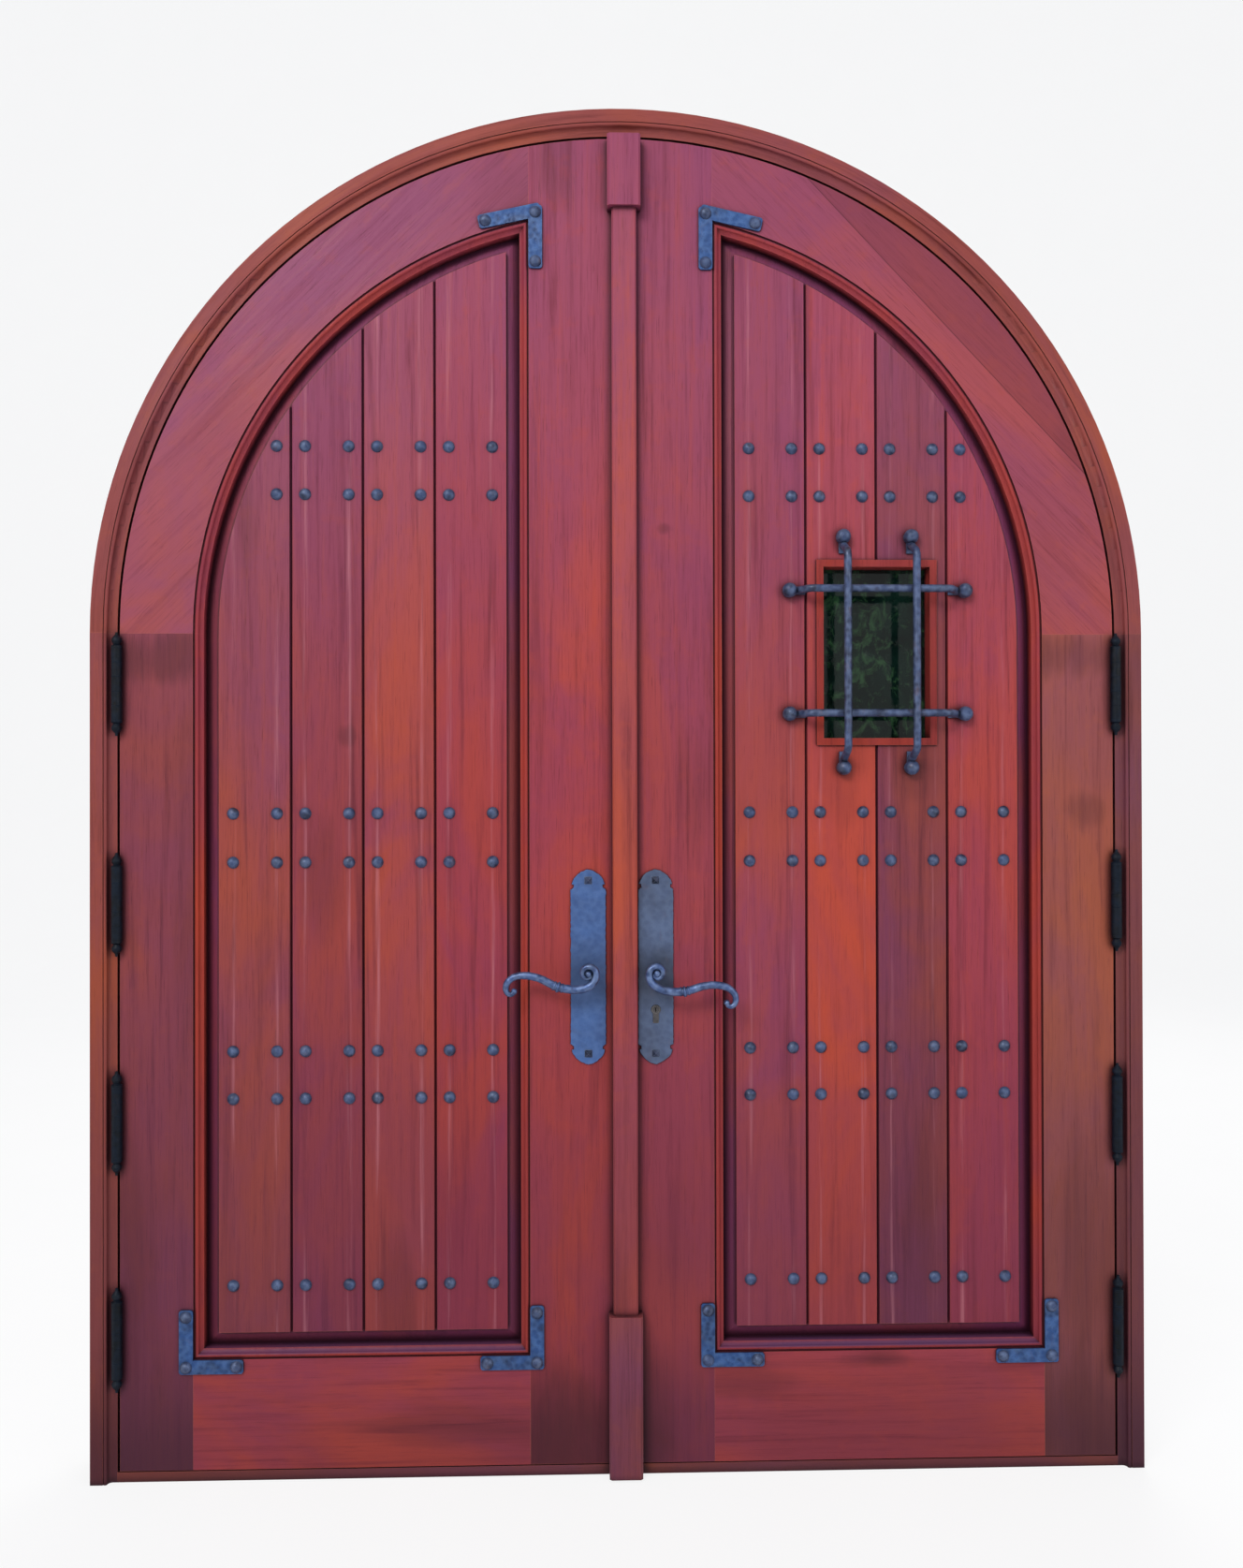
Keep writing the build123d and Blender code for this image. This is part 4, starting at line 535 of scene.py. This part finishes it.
def ball(centre, radius, rings=14, sides=22):
    vertices = [centre + Vector((0, 0, radius))]
    for i in range(1, rings):
        polar = math.pi * i / rings
        for k in range(sides):
            angle = 2 * math.pi * k / sides
            vertices.append(centre + radius * Vector(
                (math.sin(polar) * math.cos(angle), math.sin(polar) * math.sin(angle), math.cos(polar))))
    vertices.append(centre - Vector((0, 0, radius)))
    faces = [(0, 1 + k, 1 + (k + 1) % sides) for k in range(sides)]
    for i in range(rings - 2):
        for k in range(sides):
            a, b = 1 + i * sides + k, 1 + i * sides + (k + 1) % sides
            faces.append((a, a + sides, b + sides, b))
    last, start = len(vertices) - 1, 1 + (rings - 2) * sides
    faces += [(start + k, last, start + (k + 1) % sides) for k in range(sides)]
    return vertices, faces


def merged(parts):
    vertices, faces = [], []
    for part_vertices, part_faces in parts:
        start = len(vertices)
        vertices += part_vertices
        faces += [tuple(start + index for index in face) for face in part_faces]
    return vertices, faces


def beaten(vertices, amount, cell):
    """Vertices moved a little, as if the iron had been hammered."""
    return [v + amount * noise.noise_vector(v / cell) for v in vertices]


# Route of a lever, (x, z) from its spindle in mm, with the radius of the bar at each point:
# the scroll unrolls around the spindle, then the arm runs out, droops and curls back.
LEVER_ROUTE = (
    (-1.5, 0.5, 3.6), (-4.5, -1.5, 3.4), (-4.0, -6.5, 3.5), (1.5, -8.6, 3.8), (8.0, -5.5, 4.2),
    (10.6, 1.5, 4.6), (8.0, 9.0, 5.0), (0.5, 12.6, 5.4), (-8.0, 10.5, 5.8), (-13.2, 3.0, 6.0),
    (-13.6, -7.0, 6.2), (-9.0, -18.0, 6.4), (1.0, -26.0, 6.6), (14.0, -31.0, 6.7), (30.0, -33.0, 6.8),
    (50.0, -32.5, 6.8), (66.0, -28.5, 6.6), (82.0, -23.6, 6.4), (98.0, -21.5, 6.2), (116.0, -22.5, 6.0),
    (131.0, -28.0, 5.7), (141.0, -39.0, 5.3), (142.5, -51.0, 4.9), (137.0, -59.0, 4.4),
    (129.5, -59.0, 4.1), (126.5, -53.5, 3.9),
)
LEVER_STEPS = 22
COLLAR_BASE, COLLAR_REACH, COLLAR_TOP_Z = 7.0, 14, -25
EYE_RADIUS, EYE_PROUD, TIP_RADIUS = 0.0064, 0.0022, 0.0056
COLLAR_X, COLLAR_RINGS = 50.0, ((-7.0, 2.0, 1.8), (0.0, 3.2, 2.8), (7.0, 2.0, 1.8))
BAR_GROWTH = 1.12


def lever_parts(plane_y, plate_y):
    """Scrolled bar, collar rings, neck and scroll eye of a lever whose spindle is at x = 0, z = 0."""
    route = smooth_path([Vector(point) for point in LEVER_ROUTE], LEVER_STEPS)
    centres, radii = [], []
    for x, z, bar_radius in route:
        radius = bar_radius * BAR_GROWTH
        if z < COLLAR_TOP_Z and abs(x - COLLAR_X) < COLLAR_REACH:
            for ring_x, rise, half in COLLAR_RINGS:
                gap = (x - COLLAR_X - ring_x) / half
                radius = max(radius, COLLAR_BASE + rise * math.sqrt(max(0.0, 1 - gap * gap)))
        centres.append(Vector((x, 0, z)) / 1000 + Vector((0, plane_y, 0)))
        radii.append(radius / 1000)
    way = 1 if plane_y < plate_y else -1
    neck = [(0.0055, plane_y + way * 0.002), (0.0075, plane_y + way * 0.010),
            (0.0078, plate_y - way * 0.016), (0.0100, plate_y - way * 0.010),
            (NECK_RADIUS, plate_y - way * 0.005), (0.0125, plate_y - way * 0.002),
            (0.0130, plate_y + way * 0.001)]
    if way < 0:
        neck.reverse()
    eye = ball(Vector((0, plane_y - way * EYE_PROUD, 0)), EYE_RADIUS)
    tip = ball(centres[-1], TIP_RADIUS)
    return merged([tube(centres, radii), turned(neck, (0, 0)), eye, tip])


def lever(name, node, body, side, plane_y, plate_y):
    vertices, faces = lever_parts(plane_y, plate_y)
    if side == "left":
        vertices = [Vector((-v.x, v.y, v.z)) for v in vertices]
        faces = [tuple(reversed(face)) for face in faces]
        vertices = [Matrix.Rotation(LEFT_LEVER_LIFT, 3, "Y") @ v for v in vertices]
    at = Vector((SPINDLE_X if side == "right" else -SPINDLE_X, 0, SPINDLE_Z))
    vertices = beaten([v + at for v in vertices], 0.0004, 0.006)
    return new_piece(name, vertices, faces, body, lever_iron, node)


for side in ("right", "left"):
    body = f"{side}_lever_set"
    lever(f"{side}_lever_forged", f"{side}_lever", body, side,
          LEAF_FACE_Y - LEVER_STANDOFF, LEAF_FACE_Y - PLATE_THICKNESS)
    lever(f"{side}_inner_lever_forged", f"{side}_inner_lever", body, side,
          LEAF_BACK_Y + LEVER_STANDOFF, LEAF_BACK_Y + PLATE_THICKNESS)


def plate_outline(seed):
    """Edge of an escutcheon around its own centre: lobed ends, notches, beaten sides."""
    random.seed(seed)
    half_width = PLATE_WIDTH / 2
    half = PLATE_HEIGHT / 2 - PLATE_LOBE
    corner = []
    for k in range(0, 25):
        angle = math.pi * k / 24
        across = math.copysign(abs(math.cos(angle)) ** PLATE_LOBE_POINT, math.cos(angle))
        corner.append((PLATE_LOBE * across, half + PLATE_LOBE * math.sin(angle)))
    right_notch = [(half_width, half - PLATE_NOTCH), (half_width - PLATE_NOTCH, half - 0.4 * PLATE_NOTCH),
                   (half_width - PLATE_NOTCH, half + 0.6 * PLATE_NOTCH)]
    side_points = [(half_width, z / 1000) for z in range(-int(half * 1000) + 6, int(half * 1000) - 4, 4)]
    upper = [*side_points, *right_notch, *corner[1:-1], *[(-x, z) for x, z in reversed(right_notch)]]
    outline = upper + [(-x, -z) for x, z in upper]
    beaten_outline = []
    for x, z in outline:
        chip = PLATE_CHIP * (random.random() - 0.65)
        grow = 1 + chip / half_width
        beaten_outline.append((x * grow, z * (1 + chip / (PLATE_HEIGHT / 2))))
    return beaten_outline


def keyhole_outline():
    """Profile cylinder hole around the key's centre."""
    half = KEYHOLE_TAIL_WIDTH / 2
    start = math.asin(half / KEYHOLE_RADIUS)
    points = []
    for k in range(0, 29):
        angle = -math.pi / 2 + start + (2 * math.pi - 2 * start) * k / 28
        points.append((KEYHOLE_RADIUS * math.cos(angle), KEYHOLE_RADIUS * math.sin(angle)))
    low = -KEYHOLE_TAIL_DROP + half
    tail = [(-half * math.cos(math.pi * k / 8), low - half * math.sin(math.pi * k / 8)) for k in range(9)]
    return points + tail


def ring_outline(radius, sides=28):
    return [(radius * math.cos(2 * math.pi * k / sides), radius * math.sin(2 * math.pi * k / sides))
            for k in range(sides)]


def escutcheon(name, node, body, side, keyed, inside, seed):
    """Forged plate: filled curve with its holes, a rounded rim, then converted to a mesh."""
    curve = bpy.data.curves.new(name + "_curve", "CURVE")
    curve.dimensions = "2D"
    curve.fill_mode = "BOTH"
    curve.bevel_depth = PLATE_RIM
    curve.bevel_resolution = 2
    curve.offset = -PLATE_RIM
    curve.extrude = PLATE_THICKNESS / 2 - PLATE_RIM
    sign = 1 if side == "right" else -1
    neck_hole = ring_outline(NECK_RADIUS + 0.0002)
    loops = [(plate_outline(seed), (0, 0)), (neck_hole, (0, SPINDLE_Z - PLATE_CENTRE_Z))]
    if keyed:
        loops.append((keyhole_outline(), (0, KEY_Z - PLATE_CENTRE_Z)))
    for points, (shift_x, shift_z) in loops:
        spline = curve.splines.new("POLY")
        spline.points.add(len(points) - 1)
        for point, (x, z) in zip(spline.points, points):
            point.co = (x + shift_x, z + shift_z, 0, 1)
        spline.use_cyclic_u = True
    holder = bpy.data.objects.new(name + "_curve", curve)
    bpy.context.scene.collection.objects.link(holder)
    depsgraph = bpy.context.evaluated_depsgraph_get()
    mesh = bpy.data.meshes.new_from_object(holder.evaluated_get(depsgraph))
    bpy.data.objects.remove(holder)
    y = LEAF_FACE_Y - PLATE_THICKNESS / 2 if not inside else LEAF_BACK_Y + PLATE_THICKNESS / 2
    stand = Matrix.Translation((sign * SPINDLE_X, y, PLATE_CENTRE_Z))
    stand = stand @ Matrix.Rotation(math.pi / 2, 4, "X")
    vertices = [stand @ v.co for v in mesh.vertices]
    faces = [tuple(polygon.vertices) for polygon in mesh.polygons]
    bpy.data.meshes.remove(mesh)
    return new_piece(name, vertices, faces, body, PLATE_IRON[side], node, smooth=False)


# plate tones: their blue is partly painted sky reflection
PLATE_IRON = {
    "right": iron("right_escutcheon_scale", srgb(62, 74, 100), srgb(76, 92, 124), srgb(126, 146, 178),
                  rust=0.14, hammer=0.4, gloss=(0.34, 0.52), pits=0.42, wear_and_edge_highlight=0.75, cloud_scale=9,
                  grime_and_lever_shadow=0.6),
    "left": iron("left_escutcheon_scale", srgb(48, 74, 122), srgb(64, 96, 150), srgb(118, 150, 200),
                 rust=0.06, hammer=0.4, gloss=(0.34, 0.52), pits=0.36, wear_and_edge_highlight=0.75, cloud_scale=9,
                 grime_and_lever_shadow=0.5),
}
for number, side in enumerate(("right", "left")):
    for inside in (False, True):
        word = "inner_escutcheon" if inside else "escutcheon"
        escutcheon(f"{side}_{word}_forged", f"{side}_{word}", f"{side}_leaf", side, side == "right",
                   inside, 7 + 2 * number + inside)


# Floor, backdrop, light and camera.
WHITE = (1.0, 1.0, 1.0, 1.0)
FLOOR_WHITE_SHARE = 0.82
SKY_TONE, SKY_STRENGTH = (0.84, 0.89, 1.0, 1.0), 0.52
# Name, place, lit point, width, height, power and colour of each lamp.
LAMPS = (
    ("key", (-3.0, -5.8, 5.4), (0, 0, 1.0), 3.6, 2.4, 330, (1.0, 0.97, 0.94)),
    ("fill", (4.2, -4.8, 2.0), (0, 0, 1.0), 3.0, 3.0, 70, (0.92, 0.95, 1.0)),
    ("back", (1.5, 4.0, 4.0), (0, 0, 1.2), 3.0, 2.4, 120, (1.0, 0.98, 0.95)),
)


def stage_material(name, colour):
    s = Shader(name)
    speck = s.noise(s.stretched((3, 3, 3)), 1.0, 4.0, 0.5)
    tone = s.mix(s.band(speck, 0.3, 0.7), colour, tuple(min(1.0, c * 1.03) for c in colour))
    painted = s.add("BsdfDiffuse", {"Color": tone}).outputs[0]
    white = s.add("Emission", {"Color": WHITE, "Strength": 1.0}).outputs[0]
    rays = s.add("LightPath").outputs
    unlit = s.math("ADD", rays["Is Glossy Ray"], rays["Is Transmission Ray"], True)
    seen = s.math("MULTIPLY", s.math("ADD", rays["Is Camera Ray"], unlit, True), FLOOR_WHITE_SHARE)
    surface = s.add("MixShader", {0: seen, 1: painted, 2: white}).outputs[0]
    s.add("OutputMaterial", {"Surface": surface})
    return s.material


def cove(depth, width, height, radius, steps):
    """Floor that runs back and curves up into a wall, so that no horizon shows."""
    profile = [(-depth, 0.0), (depth - radius, 0.0)]
    profile += [(depth - radius + radius * math.sin(math.pi / 2 * k / steps),
                 radius - radius * math.cos(math.pi / 2 * k / steps)) for k in range(1, steps + 1)]
    profile.append((depth, height))
    vertices = [(x, y, z) for y, z in profile for x in (-width, width)]
    faces = [(2 * i, 2 * i + 1, 2 * i + 3, 2 * i + 2) for i in range(len(profile) - 1)]
    return vertices, faces


mesh = bpy.data.meshes.new("floor")
vertices, faces = cove(depth=9.0, width=14.0, height=9.0, radius=4.0, steps=16)
mesh.from_pydata(vertices, [], faces)
for polygon in mesh.polygons:
    polygon.use_smooth = True
mesh.materials.append(stage_material("pale_floor", srgb(244, 244, 244)))
floor = bpy.data.objects.new("floor", mesh)
floor.location.z = cad_low.z
bpy.context.scene.collection.objects.link(floor)


def soft_sky():
    """Bluish fill light that is plain white where the camera, a mirror or a pane shows it."""
    world = bpy.data.worlds.new("soft_sky")
    world.use_nodes = True
    tree = world.node_tree
    tree.nodes.clear()
    rays = tree.nodes.new("ShaderNodeLightPath").outputs

    def either(a, b):
        node = tree.nodes.new("ShaderNodeMath")
        node.operation = "ADD"
        node.use_clamp = True
        tree.links.new(a, node.inputs[0])
        tree.links.new(b, node.inputs[1])
        return node.outputs[0]

    def background(colour, strength):
        node = tree.nodes.new("ShaderNodeBackground")
        node.inputs["Color"].default_value = colour
        node.inputs["Strength"].default_value = strength
        return node.outputs[0]

    mirrored = either(rays["Is Glossy Ray"], rays["Is Transmission Ray"])
    blend = tree.nodes.new("ShaderNodeMixShader")
    tree.links.new(either(rays["Is Camera Ray"], mirrored), blend.inputs[0])
    tree.links.new(background(SKY_TONE, SKY_STRENGTH), blend.inputs[1])
    tree.links.new(background(WHITE, 1.0), blend.inputs[2])
    tree.links.new(blend.outputs[0], tree.nodes.new("ShaderNodeOutputWorld").inputs["Surface"])
    return world


def soft_light(name, place, target, width, height, power, colour):
    lamp = bpy.data.lights.new(name, "AREA")
    lamp.shape = "RECTANGLE"
    lamp.size, lamp.size_y = width, height
    lamp.energy = power
    lamp.color = colour
    holder = bpy.data.objects.new(name, lamp)
    holder.location = place
    holder.rotation_euler = (Vector(target) - Vector(place)).to_track_quat("-Z", "Y").to_euler()
    bpy.context.scene.collection.objects.link(holder)


bpy.context.scene.world = soft_sky()
for lamp_settings in LAMPS:
    soft_light(*lamp_settings)

camera_data = bpy.data.cameras.new("camera")
camera_data.lens = LENS
camera_data.sensor_width = SENSOR
camera_data.sensor_fit = "HORIZONTAL"
camera = bpy.data.objects.new("camera", camera_data)
level = math.cos(CAMERA_PITCH)
forward = Vector((math.sin(CAMERA_YAW) * level, math.cos(CAMERA_YAW) * level, math.sin(CAMERA_PITCH)))
camera.rotation_mode = "QUATERNION"
camera.rotation_quaternion = (
    forward.to_track_quat("-Z", "Y") @ Matrix.Rotation(CAMERA_ROLL, 3, "Z").to_quaternion())
camera.location = (CAMERA_X, LEAF_FACE_Y - CAMERA_DISTANCE, CAMERA_Z)
bpy.context.scene.collection.objects.link(camera)
bpy.context.scene.camera = camera
bpy.context.scene.view_settings.view_transform = "Standard"
